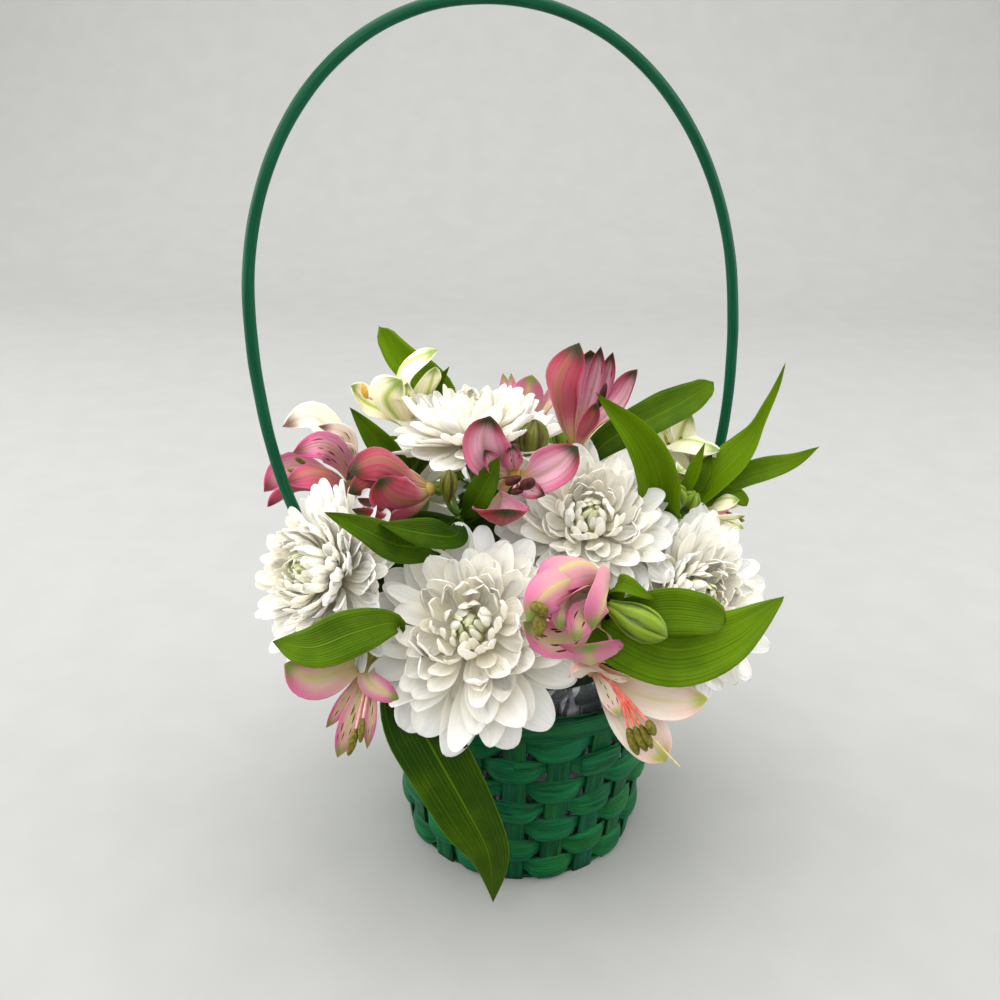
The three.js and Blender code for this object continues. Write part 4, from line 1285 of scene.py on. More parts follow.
@dataclass
class Bloom:
    """One white chrysanthemum, in millimetres."""

    name: str
    heart: Triple
    facing: Triple
    radius: float
    form: BloomForm
    petals: int
    seed: int
    hang: float = 0.06
    thickness: float = 0.34
    bracts: int = 22

    def petal(self, skin: Skin, share: float, azimuth: float, rng: np.random.Generator) -> None:
        """Adds one petal, unless it would run through the cane.

        Args:
            skin: what it is added to.
            share: 0 at the eye, 1 at the outermost ring.
            azimuth: round the heart, in radians.
            rng: the bloom's random numbers.
        """
        size, shape, frame = self.radius, self.form.value, basis(self.facing)
        polar = math.radians(98) * share**0.52
        root = size * np.array([0.19 * math.sin(polar), 0.23 * math.cos(polar)])
        rho, tau = spoke(azimuth), np.array([-math.sin(azimuth), math.cos(azimuth), 0.0])
        rises = float((frame @ rho)[2]) * share
        grown = 1 - self.hang * rises
        length = size * lerp(0.22, shape.length, share**0.74) * rng.uniform(0.86, 1.10) * grown
        half = size * lerp(0.020, shape.half, share**0.62) * rng.uniform(0.80, 1.22) * grown
        start = math.pi / 2 - polar * 1.02 + rng.normal(0, 0.10)
        inward = lerp(*shape.inward, share**0.62) + rng.normal(0, 0.18)
        hook = rng.uniform(0.2, 0.9) * (1 - share) ** 2 + shape.hook * rng.uniform(0.2, 1.4)
        stations, columns = (16, 9) if share > 0.15 else (12, 7)
        v = crowded(stations, 1.6)
        lift = 0.22 * max(rises, 0.0) + 0.16 * min(rises, 0.0)
        elevation = start + lift + inward * v**1.3 + hook * smooth(v, 0.50, 1.0)
        step = np.diff(v, prepend=0.0) * length
        r = root[0] + np.cumsum(step * np.cos(elevation))
        z = root[1] + np.cumsum(step * np.sin(elevation))
        side = rng.normal(0, 0.09) * length * v**2
        spine = r[:, None] * rho + side[:, None] * tau + z[:, None] * UP
        normal = -np.sin(elevation)[:, None] * rho + np.cos(elevation)[:, None] * UP
        normal = normal + rng.normal(0, 0.30) * v[:, None] * tau
        end = np.clip((v - shape.blunt) / (1.0 - shape.blunt), 0.0, 1.0)
        width = (0.34 + 0.66 * smooth(v, 0.0, 0.66)) * np.sqrt(1.0 - end**2.3)
        cup = lerp(*shape.cup, share**0.8) * (0.75 + 0.45 * smooth(v, 0.3, 0.9)) * rng.uniform(0.75, 1.3)
        s = section(columns)
        groove = -0.05 * half * np.cos(s * math.pi * 2.5)[None, :] * smooth(v, 0.1, 0.5)[:, None]
        wave = 0.07 * half * s[None, :] ** 2 * np.sin(v * 9 + rng.uniform(0, 6))[:, None]
        points, traits = spine @ frame.T + np.array(self.heart), Traits(tone=rng.random(), depth=share)
        apart = np.linalg.norm(points[:, None] - CANE_LINE[None], axis=2).min(axis=1)
        room = CANE_RADIUS + 0.2 + 0.6 * half * width
        if (apart < room).any():
            return
        skin.blade(
            points, normal @ frame.T, half * width, cup, self.thickness, columns, groove + wave, traits=traits
        )

    def build(self) -> None:
        """Builds the petals and the stem."""
        rng = np.random.default_rng(self.seed)
        skin = Skin(f"{self.name}_petals")
        for i in range(self.petals):
            share = (i + 0.5) / self.petals
            self.petal(skin, share, i * GOLDEN_ANGLE + rng.normal(0, 0.12), rng)
        self._heart(skin)
        settle(skin, "petal_white", [PetalFinish()], self.name)
        self._stem()

    def _heart(self, skin: Skin) -> None:
        """Adds the small solid dome that the petals spring from.

        Args:
            skin: what it is added to.
        """
        frame = basis(self.facing)
        rings = [(0.10, -4.0 / self.radius), (0.17, -0.03), (0.19, 0.03)]
        rings += [(0.16, 0.13), (0.10, 0.2), (0.03, 0.23)]
        loops = hoops(rings, 24) * self.radius
        loops = loops @ frame.T + np.array(self.heart)
        skin.loft(loops, np.linspace(0, 1, 25), np.linspace(0, 1, len(rings)), traits=Traits(0.5, 0.04))

    def _stem(self) -> None:
        """Adds the stem and the cup of green bracts under the petals."""
        axis = unit(np.array(self.facing, float))
        heart = np.array(self.heart, float)
        seat = heart - axis * 10.0
        foot = np.array([heart[0] * 0.35, heart[1] * 0.35, 84.0])
        skin = Skin(f"{self.name}_stalk")
        line = arc(foot, seat - axis * 16.0, seat + axis * 2.0, 22)
        skin.tube(line, 2.0, 14, 7, 0.05, Traits(tone=0.4, depth=0.1))
        frame = basis(axis)
        cup = hoops([(2.4, 0.0), (4.6, 1.2), (6.6, 3.6), (7.3, 5.2), (5.0, 5.8)], 20)
        skin.loft(cup @ frame.T + seat, np.linspace(0, 3, 21), np.linspace(0, 1, 5), traits=Traits(0.6, 0.4))
        rng = np.random.default_rng(self.seed + 500)
        v = crowded(8, 1.3)
        half = 1.5 * np.sin(math.pi * np.clip(v * 0.9 + 0.08, 0, 1)) ** 0.7
        for i in range(self.bracts):
            rho = spoke(i * 2.4 + rng.normal(0, 0.1))
            low = 0.4 + (i % 3) * 1.3
            spine = rho * (2.6 + low * 1.1 + 3.6 * v)[:, None] + UP * (low + 4.6 * v**0.8)[:, None]
            facing = 0.5 * UP - rho * 0.9
            skin.blade(
                spine @ frame.T + seat, facing @ frame.T, half, np.full(8, 0.5), 0.35, 5,
                traits=Traits(rng.random(), 0.6),
            )
        settle(skin, "bloom_stem", [STEM_GREEN], f"{self.name}_stem")


# ---------------------------------------------------------------- peruvian lilies
@dataclass(frozen=True)
class Tepal:
    """One tepal: the points its midrib goes through after its root, and the way its inner face looks."""

    spine: Sequence[Triple]
    width: float
    face: Triple
    outer: bool = True
    curl: float = 0.55
    cream: float = 0.0


@dataclass(frozen=True)
class Stamen:
    """One filament: the points it goes through after its root, and where its anther ends, if it has one."""

    route: Sequence[Triple]
    reach: Optional[Triple] = None
    girth: float = 1.5


class Opening(Enum):
    """How far a lily flower opens: the start, outer end and inner end angles from its axis, in degrees."""

    OPEN = (14.0, 62.0, 46.0)
    HALF = (22.0, 24.0, 18.0)
    SHUT = (40.0, -22.0, -14.0)


# A tepal's stations, the points across one face, its thickness, and its widths as [share of its length,
# share of its width] knots.
TEPAL_STATIONS = crowded(20, 1.25)
TEPAL_COLUMNS = 9
TEPAL_THICKNESS = 0.6
OUTER_WIDTH = (
    (0, 0.20), (0.15, 0.34), (0.35, 0.68), (0.55, 0.97), (0.70, 1.0), (0.84, 0.80), (0.94, 0.42), (1, 0),
)
INNER_WIDTH = ((0, 0.25), (0.20, 0.38), (0.45, 0.76), (0.66, 1.0), (0.82, 0.80), (0.93, 0.42), (1, 0))


@dataclass
class Lily:
    """One peruvian lily flower, in millimetres."""

    name: str
    base: Triple
    axis: Triple
    size: float
    opening: Opening
    turn: float
    finish: TepalFinish
    tepals: Sequence[Tepal] = ()
    stamens: Sequence[Stamen] = ()
    anther: PlainFinish = OLIVE_ANTHER
    filament: PlainFinish = PINK_FILAMENT
    seed: int = 1

    def blade(self, skin: Skin, spine: Array, normal: Array, look: Tepal, rng: np.random.Generator) -> None:
        """Adds one tepal.

        Args:
            skin: what it is added to.
            spine: the points of its midrib, one for each station.
            normal: the way its inner face looks, one row or one for each station.
            look: its width, kind, curl and tint.
            rng: the flower's random numbers.
        """
        v = TEPAL_STATIONS
        half = profile(OUTER_WIDTH if look.outer else INNER_WIDTH, v) * look.width / 2
        s = section(TEPAL_COLUMNS)
        wave = 0.11 * half[:, None] * s[None, :] ** 2 * np.sin(v * 11 + rng.uniform(0, 6))[:, None]
        keel = -0.07 * half[:, None] * np.exp(-((s / 0.18) ** 2))[None, :]
        curl = look.curl * (1.25 - 0.6 * smooth(v, 0.3, 1.0))
        traits = Traits(rng.random(), 0.5 + 0.5 * look.cream, 0.0 if look.outer else 1.0)
        skin.blade(spine, normal, half, curl, TEPAL_THICKNESS, TEPAL_COLUMNS, wave + keel, traits=traits)

    def placed(self, skin: Skin, rng: np.random.Generator) -> None:
        """Adds the tepals that are given one by one.

        Args:
            skin: what they are added to.
            rng: the flower's random numbers.
        """
        for look in self.tepals:
            dense = through([self.base, *look.spine], 80)
            self.blade(skin, resample(dense, TEPAL_STATIONS), np.array(look.face, float), look, rng)

    def usual(self, skin: Skin, rng: np.random.Generator) -> None:
        """Adds six tepals, three broad and three narrow, as the opening asks.

        Args:
            skin: what they are added to.
            rng: the flower's random numbers.
        """
        start, outer, inner = self.opening.value
        frame = basis(self.axis, self.turn)
        v = TEPAL_STATIONS
        for i in range(6):
            broad = i % 2 == 0
            azimuth = math.radians(i * 60 + rng.normal(0, 4))
            length = self.size * (1.0 if broad else 0.92) * rng.uniform(0.95, 1.05)
            width = self.size * (0.44 if broad else 0.23) * rng.uniform(0.95, 1.05)
            end = (outer if broad else inner) + rng.normal(0, 5)
            angle = np.radians(start + (end - start) * v)
            rho = spoke(azimuth)
            step = np.diff(v, prepend=0.0) * length
            radial = (2.0 if broad else 1.2) + np.cumsum(step * np.sin(angle))
            rise = (0.6 if broad else 1.4) + np.cumsum(step * np.cos(angle))
            spine = radial[:, None] * rho + rise[:, None] * UP
            normal = -np.cos(angle)[:, None] * rho + np.sin(angle)[:, None] * UP
            look = Tepal((), width, self.axis, broad, 0.75 if self.opening is Opening.SHUT else 0.5)
            self.blade(skin, spine @ frame.T + np.array(self.base), normal @ frame.T, look, rng)

    def build(self) -> None:
        """Builds the tepals and the stamens."""
        rng = np.random.default_rng(self.seed)
        skin = Skin(f"{self.name}_tepals")
        if self.tepals:
            self.placed(skin, rng)
        else:
            self.usual(skin, rng)
        cup = hoops([(1.4, 0.0), (2.6, 0.8), (3.0, 3.0), (2.4, 5.0)], 14) @ basis(self.axis, self.turn).T
        skin.loft(cup + np.array(self.base), np.linspace(0, 2, 15), np.array([0, 0.02, 0.05, 0.08]))
        settle(skin, self.finish.name, [self.finish], self.name)
        self._pollen(self.stamens or self._cluster(rng))

    def _cluster(self, rng: np.random.Generator) -> list[Stamen]:
        """The usual bunch of stamens, with the style among them.

        Args:
            rng: the flower's random numbers.

        Returns:
            The stamens.
        """
        frame, origin = basis(self.axis, self.turn), np.array(self.base, float)
        made = []
        for i in range(6):
            out = spoke(math.radians(i * 60 - 90))
            reach = self.size * (0.66 if i == 5 else rng.uniform(0.5, 0.6))
            t = np.array([0.25, 0.6, 1.0])[:, None]
            path = UP * reach * t + out * (0.6 + 3.4 * t**1.4)
            end = path[-1] + unit(UP + out * 0.5 + rng.normal(0, 0.2, 3)) * 5.0
            route = [tuple(p) for p in path @ frame.T + origin]
            made.append(Stamen(route, None if i == 5 else tuple(frame @ end + origin), 1.2))
        return made

    def _pollen(self, stamens: Sequence[Stamen]) -> None:
        """Builds the filaments, their anthers and the style.

        Args:
            stamens: all of them; the one without an anther is the style.
        """
        skin = Skin(f"{self.name}_stamens")
        count = 16
        for stamen in stamens:
            line = through([self.base, *stamen.route], count)
            if stamen.reach is None:
                skin.tube(line, np.linspace(0.6, 0.35, count), 8, slot=2)
                continue
            skin.tube(line, np.linspace(0.75, 0.5, count), 8)
            start, end = line[-1], np.array(stamen.reach, float)
            anther = start + (end - start) * np.linspace(-0.12, 1.0, 12)[:, None]
            round_off = np.sin(np.linspace(0.12, math.pi - 0.1, 12)) ** 0.55
            skin.tube(anther, stamen.girth * round_off, 14, 2, 0.20, slot=1)
        settle(skin, self.finish.name, [self.filament, self.anther, PALE_STYLE])


class Outline(Enum):
    """The outlines of a leaf, as [share of its length, share of its width] knots."""

    LANCE = (
        (0, 0.10), (0.08, 0.22), (0.2, 0.54), (0.36, 0.88), (0.52, 1.0), (0.68, 0.92), (0.84, 0.56),
        (0.94, 0.24), (1, 0),
    )
    BLUNT = ((0, 0.10), (0.1, 0.3), (0.3, 0.78), (0.52, 1.0), (0.74, 0.98), (0.9, 0.72), (0.97, 0.42), (1, 0))
    BROAD = (
        (0, 0.30), (0.1, 0.68), (0.22, 0.96), (0.38, 1.0), (0.54, 0.93), (0.68, 0.76), (0.80, 0.52),
        (0.90, 0.28), (1, 0),
    )
    STALKED = (
        (0, 0.06), (0.28, 0.10), (0.38, 0.42), (0.5, 0.84), (0.64, 1.0), (0.8, 0.82), (0.92, 0.42), (1, 0),
    )
    TAILED = (
        (0, 0.12), (0.12, 0.42), (0.28, 0.92), (0.42, 1.0), (0.54, 0.74), (0.64, 0.42), (0.78, 0.27),
        (0.9, 0.15), (1, 0),
    )


@dataclass(frozen=True)
class Leaf:
    """One leaf: the points its midrib goes through after its root, and how it looks."""

    spine: Sequence[Triple]
    width: float
    face: Triple
    tone: float = 0.55
    fold: float = 0.14
    wave: float = 0.05
    outline: Outline = Outline.LANCE


@dataclass(frozen=True)
class Bud:
    """One closed bud."""

    base: Triple
    tip: Triple
    radius: float
    brown: bool = False


# A leaf's stations, the points across one face and its thickness; a bud's radii as knots.
LEAF_STATIONS = 36
LEAF_COLUMNS = 13
LEAF_THICKNESS = 0.55
BUD_SWELL = ((0, 0.35), (0.12, 0.5), (0.35, 0.86), (0.58, 1.0), (0.8, 0.82), (0.94, 0.42), (1, 0.08))


@dataclass
class Sprig:
    """One leafy lily stem with the stalks of its flowers, its leaves and its buds."""

    name: str
    route: Sequence[Triple]
    flowers: Sequence[Lily]
    leaves: Sequence[Leaf]
    buds: Sequence[Bud]
    seed: int
    steps: int = 40

    def wood(self) -> Array:
        """Builds the stem and its stalks.

        Returns:
            The points of the main stem.
        """
        main = through(self.route, self.steps)
        skin = Skin(f"{self.name}_stem")
        skin.tube(main, np.linspace(1.75, 1.45, self.steps), 12, 5, 0.06, Traits(0.3, 0.2))
        for flower in self.flowers:
            axis = unit(np.array(flower.axis, float))
            top = np.array(flower.base) - axis * 0.2
            neck = top - axis * 6.0
            self._case(skin, neck, top, 2.7)
            self._stalk(skin, main, neck + axis * 1.5, axis)
        for bud in self.buds:
            base = np.array(bud.base, float)
            axis = unit(np.array(bud.tip) - base)
            self._stalk(skin, main, base + axis * 2.0, axis)
        settle(skin, "lily_leaf", [STEM_GREEN], self.name)
        return main

    @staticmethod
    def _case(skin: Skin, base: Array, tip: Array, radius: float) -> None:
        """Adds the ribbed seed case under a flower.

        Args:
            skin: what it is added to.
            base: the point where it leaves the stalk.
            tip: the point where the flower begins.
            radius: at its thickest.
        """
        t = np.linspace(0, 1, 14)
        swell = radius * (0.35 + 0.65 * np.sin(math.pi * np.clip(t * 0.8 + 0.05, 0, 1)) ** 0.8)
        skin.tube(base + (tip - base) * t[:, None], swell, 24, 6, 0.10, Traits(0.7, 0.7))

    @staticmethod
    def _stalk(skin: Skin, main: Array, end: Array, axis: Array) -> None:
        """Adds a thin stalk from the upper part of the stem to a flower or bud.

        Args:
            skin: what it is added to.
            main: the points of the stem.
            end: where the stalk ends.
            axis: the way it points there.
        """
        upper = main[len(main) * 7 // 10 :]
        start = upper[np.argmin(np.linalg.norm(upper - end, axis=1))]
        bend = end - axis * np.linalg.norm(end - start) * 0.4
        skin.tube(arc(start, bend, end, 16), np.linspace(1.2, 1.0, 16), 8, traits=Traits(0.6, 0.5))

    def foliage(self, root: Array) -> None:
        """Builds the leaves.

        Args:
            root: the point of the stem that they grow from.
        """
        rng = np.random.default_rng(self.seed)
        skin = Skin(f"{self.name}_leaves")
        s = section(LEAF_COLUMNS)
        v = np.linspace(0, 1, LEAF_STATIONS)
        for leaf in self.leaves:
            spine = resample(through([root, *leaf.spine], 90), v)
            half = profile(leaf.outline.value, v) * leaf.width / 2
            phase = rng.uniform(0, 6, 2)
            sway = np.sin(v[:, None] * 13 + np.where(s > 0, phase[0], phase[1])[None, :])
            ripple = leaf.fold * 2 * half[:, None] * np.sqrt(s**2 + 0.01)[None, :]
            ripple = ripple + leaf.wave * leaf.width * s[None, :] ** 2 * sway * smooth(v, 0, 0.25)[:, None]
            shown = smooth(half, 0, leaf.width / 4)[:, None]
            pleat = -0.018 * leaf.width * np.cos(s * math.pi * 4)[None, :] * shown
            skin.blade(
                spine, np.array(leaf.face, float), half, np.full_like(v, 0.06), LEAF_THICKNESS, LEAF_COLUMNS,
                ripple + pleat, traits=Traits(leaf.tone),
            )
        settle(skin, "lily_leaf", [LeafFinish()], self.name)

    def closed(self) -> None:
        """Builds the buds."""
        for brown, finish, word in ((False, BUD_GREEN, "green"), (True, BUD_BROWN, "brown")):
            chosen = [bud for bud in self.buds if bud.brown is brown]
            if not chosen:
                continue
            skin = Skin(f"{self.name}_{word}_buds")
            for bud in chosen:
                base, tip = np.array(bud.base, float), np.array(bud.tip, float)
                t = np.linspace(0, 1, 26)
                line, swell = base + (tip - base) * t[:, None], bud.radius * profile(BUD_SWELL, t)
                skin.tube(line, swell, 36, 6, 0.06, Traits(0.5, 0.6))
            settle(skin, "lily_leaf", [finish])

    def build(self) -> None:
        """Builds the stem with all that grows on it."""
        main = self.wood()
        if self.leaves:
            self.foliage(main[-2])
        self.closed()
        for flower in self.flowers:
            flower.build()


def bloom_list() -> list[Bloom]:
    """Places the white blooms.

    Returns:
        All of them.
    """
    spoon, fringed, layered = BloomForm.SPOON, BloomForm.FRINGED, BloomForm.LAYERED
    return [
        Bloom("bloom_front", (-22, -59.5, 129.5), (-0.1, -0.76, 0.64), 42, spoon, 140, 11, 0.18),
        Bloom("bloom_centre_right", (23, -24, 158), (0, -0.62, 0.78), 36, layered, 150, 12),
        Bloom("bloom_right", (63, -29, 128), (0.42, -0.72, 0.55), 39, layered, 165, 13, 0.10),
        Bloom("bloom_left", (-77.5, -44, 145), (-0.7, -0.55, 0.45), 37, fringed, 330, 14, 0.10),
        Bloom("bloom_top", (-24, 9, 181), (-0.03, 0.12, 0.99), 37, spoon, 140, 15),
        Bloom("bloom_back_left", (-54, 44, 138), (-0.55, 0.7, 0.46), 35, layered, 130, 16),
        Bloom("bloom_back_right", (50, 48, 140), (0.5, 0.68, 0.54), 35, spoon, 130, 17),
        Bloom("bloom_back", (-2, 66, 124), (0, 0.86, 0.5), 35, layered, 130, 18),
    ]


# fmt: off
def low_left() -> Lily:
    """The pale pink flower that hangs at the front left.

    Returns:
        The flower.
    """
    return Lily(
        "floret_left_low", (-60, -61, 120), (-0.3, -0.85, -0.42), 38, Opening.OPEN, 0, PALE_PINK, seed=21,
        tepals=(
            Tepal(((-69.4, -72, 120.2), (-80.8, -78, 119.5), (-90.4, -80, 126.7)), 17, (0.1, -0.75, 0.6),
                  curl=0.5),
            Tepal(((-66.8, -74, 112.7), (-76.3, -80, 98.6)), 6.5, (0.3, -0.9, 0.1), False, 0.8),
            Tepal(((-64.9, -78, 107.9), (-72, -84, 88)), 9, (0.1, -0.95, 0.1), False),
            Tepal(((-58.1, -78, 110.3), (-60.6, -84, 92.4)), 6.5, (-0.5, -0.8, 0.1), False, 0.8),
            Tepal(((-60.4, -76, 117.8), (-54.1, -80, 115.3), (-48.6, -80, 112.3)), 9, (-0.1, -0.7, 0.7)),
            Tepal(((-60.6, -62, 113.9), (-60.6, -62, 105.2), (-60.6, -64, 99)), 12, (0, -0.98, 0)),
        ),
        stamens=(
            Stamen(((-62, -76, 112), (-64.4, -86, 101.6)), (-67, -88, 92.5), 2.1),
            Stamen(((-60.5, -76, 113), (-61.6, -86, 106.5)), (-62.4, -88, 98.5), 1.7),
        ),
    )


def low_right() -> Lily:
    """The white flower with coral filaments that hangs at the front right.

    Returns:
        The flower.
    """
    return Lily(
        "floret_right_low", (22, -72, 125), (0.38, -0.76, -0.53), 43, Opening.OPEN, 50, BLUSH_WHITE, seed=23,
        tepals=(
            Tepal(((33.8, -84, 113.1), (42.2, -92, 106.7), (50, -94, 96.8)), 18, (-0.1, -0.8, 0.6), curl=0.6),
            Tepal(((38, -84, 120), (51, -90, 120.5), (63.8, -90, 122)), 15, (0.05, -0.8, 0.55), curl=0.6),
            Tepal(((29.8, -82, 132.5), (37, -88, 134.8), (43.9, -90, 129.5)), 8, (0.1, -0.5, 0.85)),
            Tepal(((21.2, -84, 128.4), (15.6, -88, 134.3), (13.1, -88, 128.2)), 10, (0.4, -0.2, -0.9)),
            Tepal(((28.7, -86, 128.5), (34.8, -91, 131)), 8, (-0.2, -0.7, -0.5), False, 0.7),
            Tepal(((28.5, -86, 120.1), (31.7, -92, 114.9)), 8, (0.2, -0.9, 0.3), False),
        ),
        stamens=(
            Stamen(((32.2, -88, 120.2), (34.9, -98, 113.1)), (38.6, -100, 104.5), 2.0),
            Stamen(((32.6, -88, 120.6), (37.2, -98, 113.8)), (41.6, -100, 106.2), 1.9),
            Stamen(((33, -88, 121), (39.4, -98, 114.6)), (43.4, -100, 107.4), 1.7),
            Stamen(((33.4, -88, 121.6), (41.4, -98, 117.1)), (44.2, -99, 112.4), 1.9),
            Stamen(((34, -90, 117), (43.4, -98, 110.3), (54, -100, 99.3))),
        ),
        filament=CORAL_FILAMENT,
    )


def front_globe() -> Lily:
    """The half-shut pink flower in front of the blooms.

    Returns:
        The flower.
    """
    return Lily(
        "floret_front", (25, -76, 155), (-0.62, -0.76, 0.18), 41, Opening.SHUT, 0, PALE_PINK, seed=22,
        tepals=(
            Tepal(((21.9, -80, 168.4), (12.2, -88, 174), (0, -97, 168.5)), 17, (-0.2, 0.35, -0.9), curl=0.8),
            Tepal(((14, -90, 169.4), (3.5, -101, 170.3), (-3, -104, 160.5)), 16, (0.1, 0.85, -0.5), curl=0.9),
            Tepal(((24.5, -90, 168), (22.2, -102, 167.8), (18.7, -105, 158.7)), 16, (-0.6, 0.8, 0), curl=0.8),
            Tepal(((24, -84, 142), (20.2, -94, 139), (18.1, -104, 152.8)), 27, (-0.1, 0.5, 0.85), curl=0.85),
            Tepal(((15.1, -90, 165), (8.8, -100, 163), (8, -103, 157)), 13, (0.2, -0.9, -0.3), False, 0.6),
            Tepal(((18, -92, 160), (14.6, -102, 158), (13.2, -104, 153.4)), 13, (-0.2, -0.95, -0.1), False,
                  0.6),
            Tepal(((12.7, -92, 147.7), (3.6, -98, 150.4), (-4.4, -99, 157.9)), 15, (0.1, -0.6, 0.8), False,
                  0.6),
            Tepal(((16, -86, 158), (6, -93, 163), (-2, -97, 163)), 16, (0.1, -0.95, 0.3), True, 0.7),
        ),
        stamens=(
            Stamen(((14, -92, 158), (2.5, -104, 165)), (-1, -108, 169.4), 2.7),
            Stamen(((14, -92, 156), (1.8, -104, 164)), (0.8, -108, 157.5), 1.9),
        ),
    )


def centre_left() -> Lily:
    """The shut deep pink flower that lies to the left.

    Returns:
        The flower.
    """
    return Lily(
        "floret_centre_left", (-39, -24, 173), (-0.72, -0.66, 0.2), 36, Opening.SHUT, 15, DEEP_PINK, seed=24,
        tepals=(
            Tepal(((-46, -31, 180.5), (-58, -36, 190), (-70.3, -37, 185.4)), 19, (0.1, 0.55, -0.83),
                  curl=0.9),
            Tepal(((-44, -35, 173), (-53, -44, 178.5), (-57.5, -46, 187)), 19, (-0.5, 0.85, 0.15), curl=0.9),
            Tepal(((-44, -32, 167.5), (-57.9, -40, 165), (-68.5, -44, 173)), 17, (0.1, 0.65, 0.75), curl=0.9),
            Tepal(((-50, -30, 179.9), (-62, -39, 181.5), (-70.2, -41, 178)), 13, (0.3, 0.9, 0.1), True, 0.8),
            Tepal(((-50, -31, 174.3), (-60.5, -42, 173.5), (-66, -46, 178.5)), 11, (0.3, 0.9, 0.3), False,
                  0.7),
            Tepal(((-51, -26, 180), (-62, -30, 187), (-72, -33, 180)), 11, (0.1, -0.8, 0.4), False, 0.7),
        ),
        stamens=(Stamen(((-52, -30, 176), (-62, -36, 178)), (-65, -38, 179.5), 0.9),),
        anther=AMBER_ANTHER,
    )


def centre() -> Lily:
    """The open deep pink flower in the middle.

    Returns:
        The flower.
    """
    return Lily(
        "floret_centre", (-7, -20, 178), (0.12, -0.87, 0.48), 34, Opening.OPEN, 8, DEEP_PINK, seed=25,
        tepals=(
            Tepal(((-15.9, -29, 187.5), (-19.2, -33, 197.2), (-16.9, -32, 207.1)), 20, (0.25, -0.95, 0.1),
                  curl=0.75),
            Tepal(((-0.4, -32, 182.4), (8.2, -38, 189.9), (16.4, -36, 197)), 17, (-0.2, -0.85, 0.45),
                  curl=0.45),
            Tepal(((-13, -34, 170), (-12, -45, 168.5), (-9.5, -52, 178)), 25, (-0.1, 0.8, 0.55), curl=1.0),
            Tepal(((-7.8, -29, 187.4), (-8.4, -33, 196)), 8, (0.1, -0.9, -0.2), False),
            Tepal(((-14.8, -31, 185.8), (-19, -35, 194.6)), 8, (0.5, -0.8, 0.2), False, 0.7),
            Tepal(((-2.3, -34, 178.7), (4.5, -42, 179.2)), 8, (-0.3, -0.8, 0.5), False),
        ),
        stamens=(
            Stamen(((-5, -34, 180), (-3.4, -45, 183.8)), (-1.2, -49, 188.6), 2.5),
            Stamen(((-8, -32, 181), (-9.8, -43, 184.5)), (-5.4, -47, 188.6), 2.1),
            Stamen(((-7, -33, 179), (-8, -44, 181.5)), (-4.4, -48, 183.6), 1.7),
        ),
        anther=DARK_ANTHER,
    )


def top_right() -> Lily:
    """The tall deep pink flower at the top.

    Returns:
        The flower.
    """
    return Lily(
        "floret_top_right", (18, -2, 181), (0.16, 0.04, 0.98), 45, Opening.HALF, 5, DEEP_PINK, seed=26,
        tepals=(
            Tepal(((11.6, -7, 197.2), (9.6, -9, 213.5), (17.2, -4, 227.9)), 19, (0.62, 0.78, 0.05),
                  curl=0.85),
            Tepal(((19.8, 5, 196.4), (22.8, 7, 209.5), (22.5, 5, 222.4)), 16, (-0.1, -0.98, 0.1), curl=0.45),
            Tepal(((27.3, -3, 195.2), (35.7, -3, 204.2), (40.7, -4, 217.6)), 16, (-0.85, -0.35, 0.35),
                  curl=0.85),
            Tepal(((22.4, 2, 200.1), (25.1, 0, 214.7), (25.8, -3, 226.3)), 8, (-0.3, -0.95, 0), False, 0.6),
            Tepal(((24.9, 2, 198.8), (29, 2, 211.7), (30.8, -2, 223.8)), 8, (-0.3, -0.95, 0), False, 0.6),
            Tepal(((20, -10, 192), (23, -13, 201), (24.4, -14, 207)), 8, (0, 0.9, 0.2), False, 0.6),
        ),
        stamens=(Stamen(((22, -4, 195), (25.9, -9, 203.9)), (28, -11, 213.6), 1.7),),
        anther=DARK_ANTHER,
    )


def left_back() -> Lily:
    """The salmon and mauve flower behind the left leg of the handle.

    Returns:
        The flower.
    """
    return Lily(
        "floret_left_back", (-72, 1, 156), (-0.78, 0.2, 0.6), 41, Opening.OPEN, 10, SALMON, seed=29,
        tepals=(
            Tepal(((-81.4, 12, 176.4), (-91.6, 14, 188.5), (-104.1, 10, 184.8)), 13, (0.1, -0.75, 0.6),
                  cream=1.0),
            Tepal(((-74.5, 4, 175.3), (-76.7, 2, 185.3), (-87.1, -2, 190.2)), 8, (-0.1, -0.85, 0.5), False,
                  cream=0.7),
            Tepal(((-74.1, 0, 172.4), (-74.4, -4, 181.2), (-80.6, -6, 183.2)), 6, (0, -0.9, 0.4), False,
                  cream=0.7),
            Tepal(((-77.4, -4, 176.5), (-84.4, -9, 184.5), (-96.3, -11, 181.8)), 13, (-0.3, -0.8, 0.5),
                  False, 0.5),
            Tepal(((-78.8, -8, 169.8), (-87.7, -15, 175.5), (-98.6, -17, 171.6)), 16, (0.2, 0.5, -0.85),
                  curl=0.6),
            Tepal(((-85.5, -2, 160.8), (-96.7, -4, 162.4), (-109.7, -4, 154.3)), 12, (0.1, 0.55, 0.8),
                  curl=0.7),
            Tepal(((-89.1, 4, 166.5), (-100.7, 4, 169.9), (-111.5, 0, 159.4)), 12, (0, -0.9, 0.3), curl=0.5),
        ),
        stamens=(
            Stamen(((-80, -2, 168), (-92, -8, 176)), (-96, -9, 179), 1.2),
            Stamen(((-82, 0, 166), (-95, -4, 170)), (-100, -5, 172), 1.2),
        ),
    )


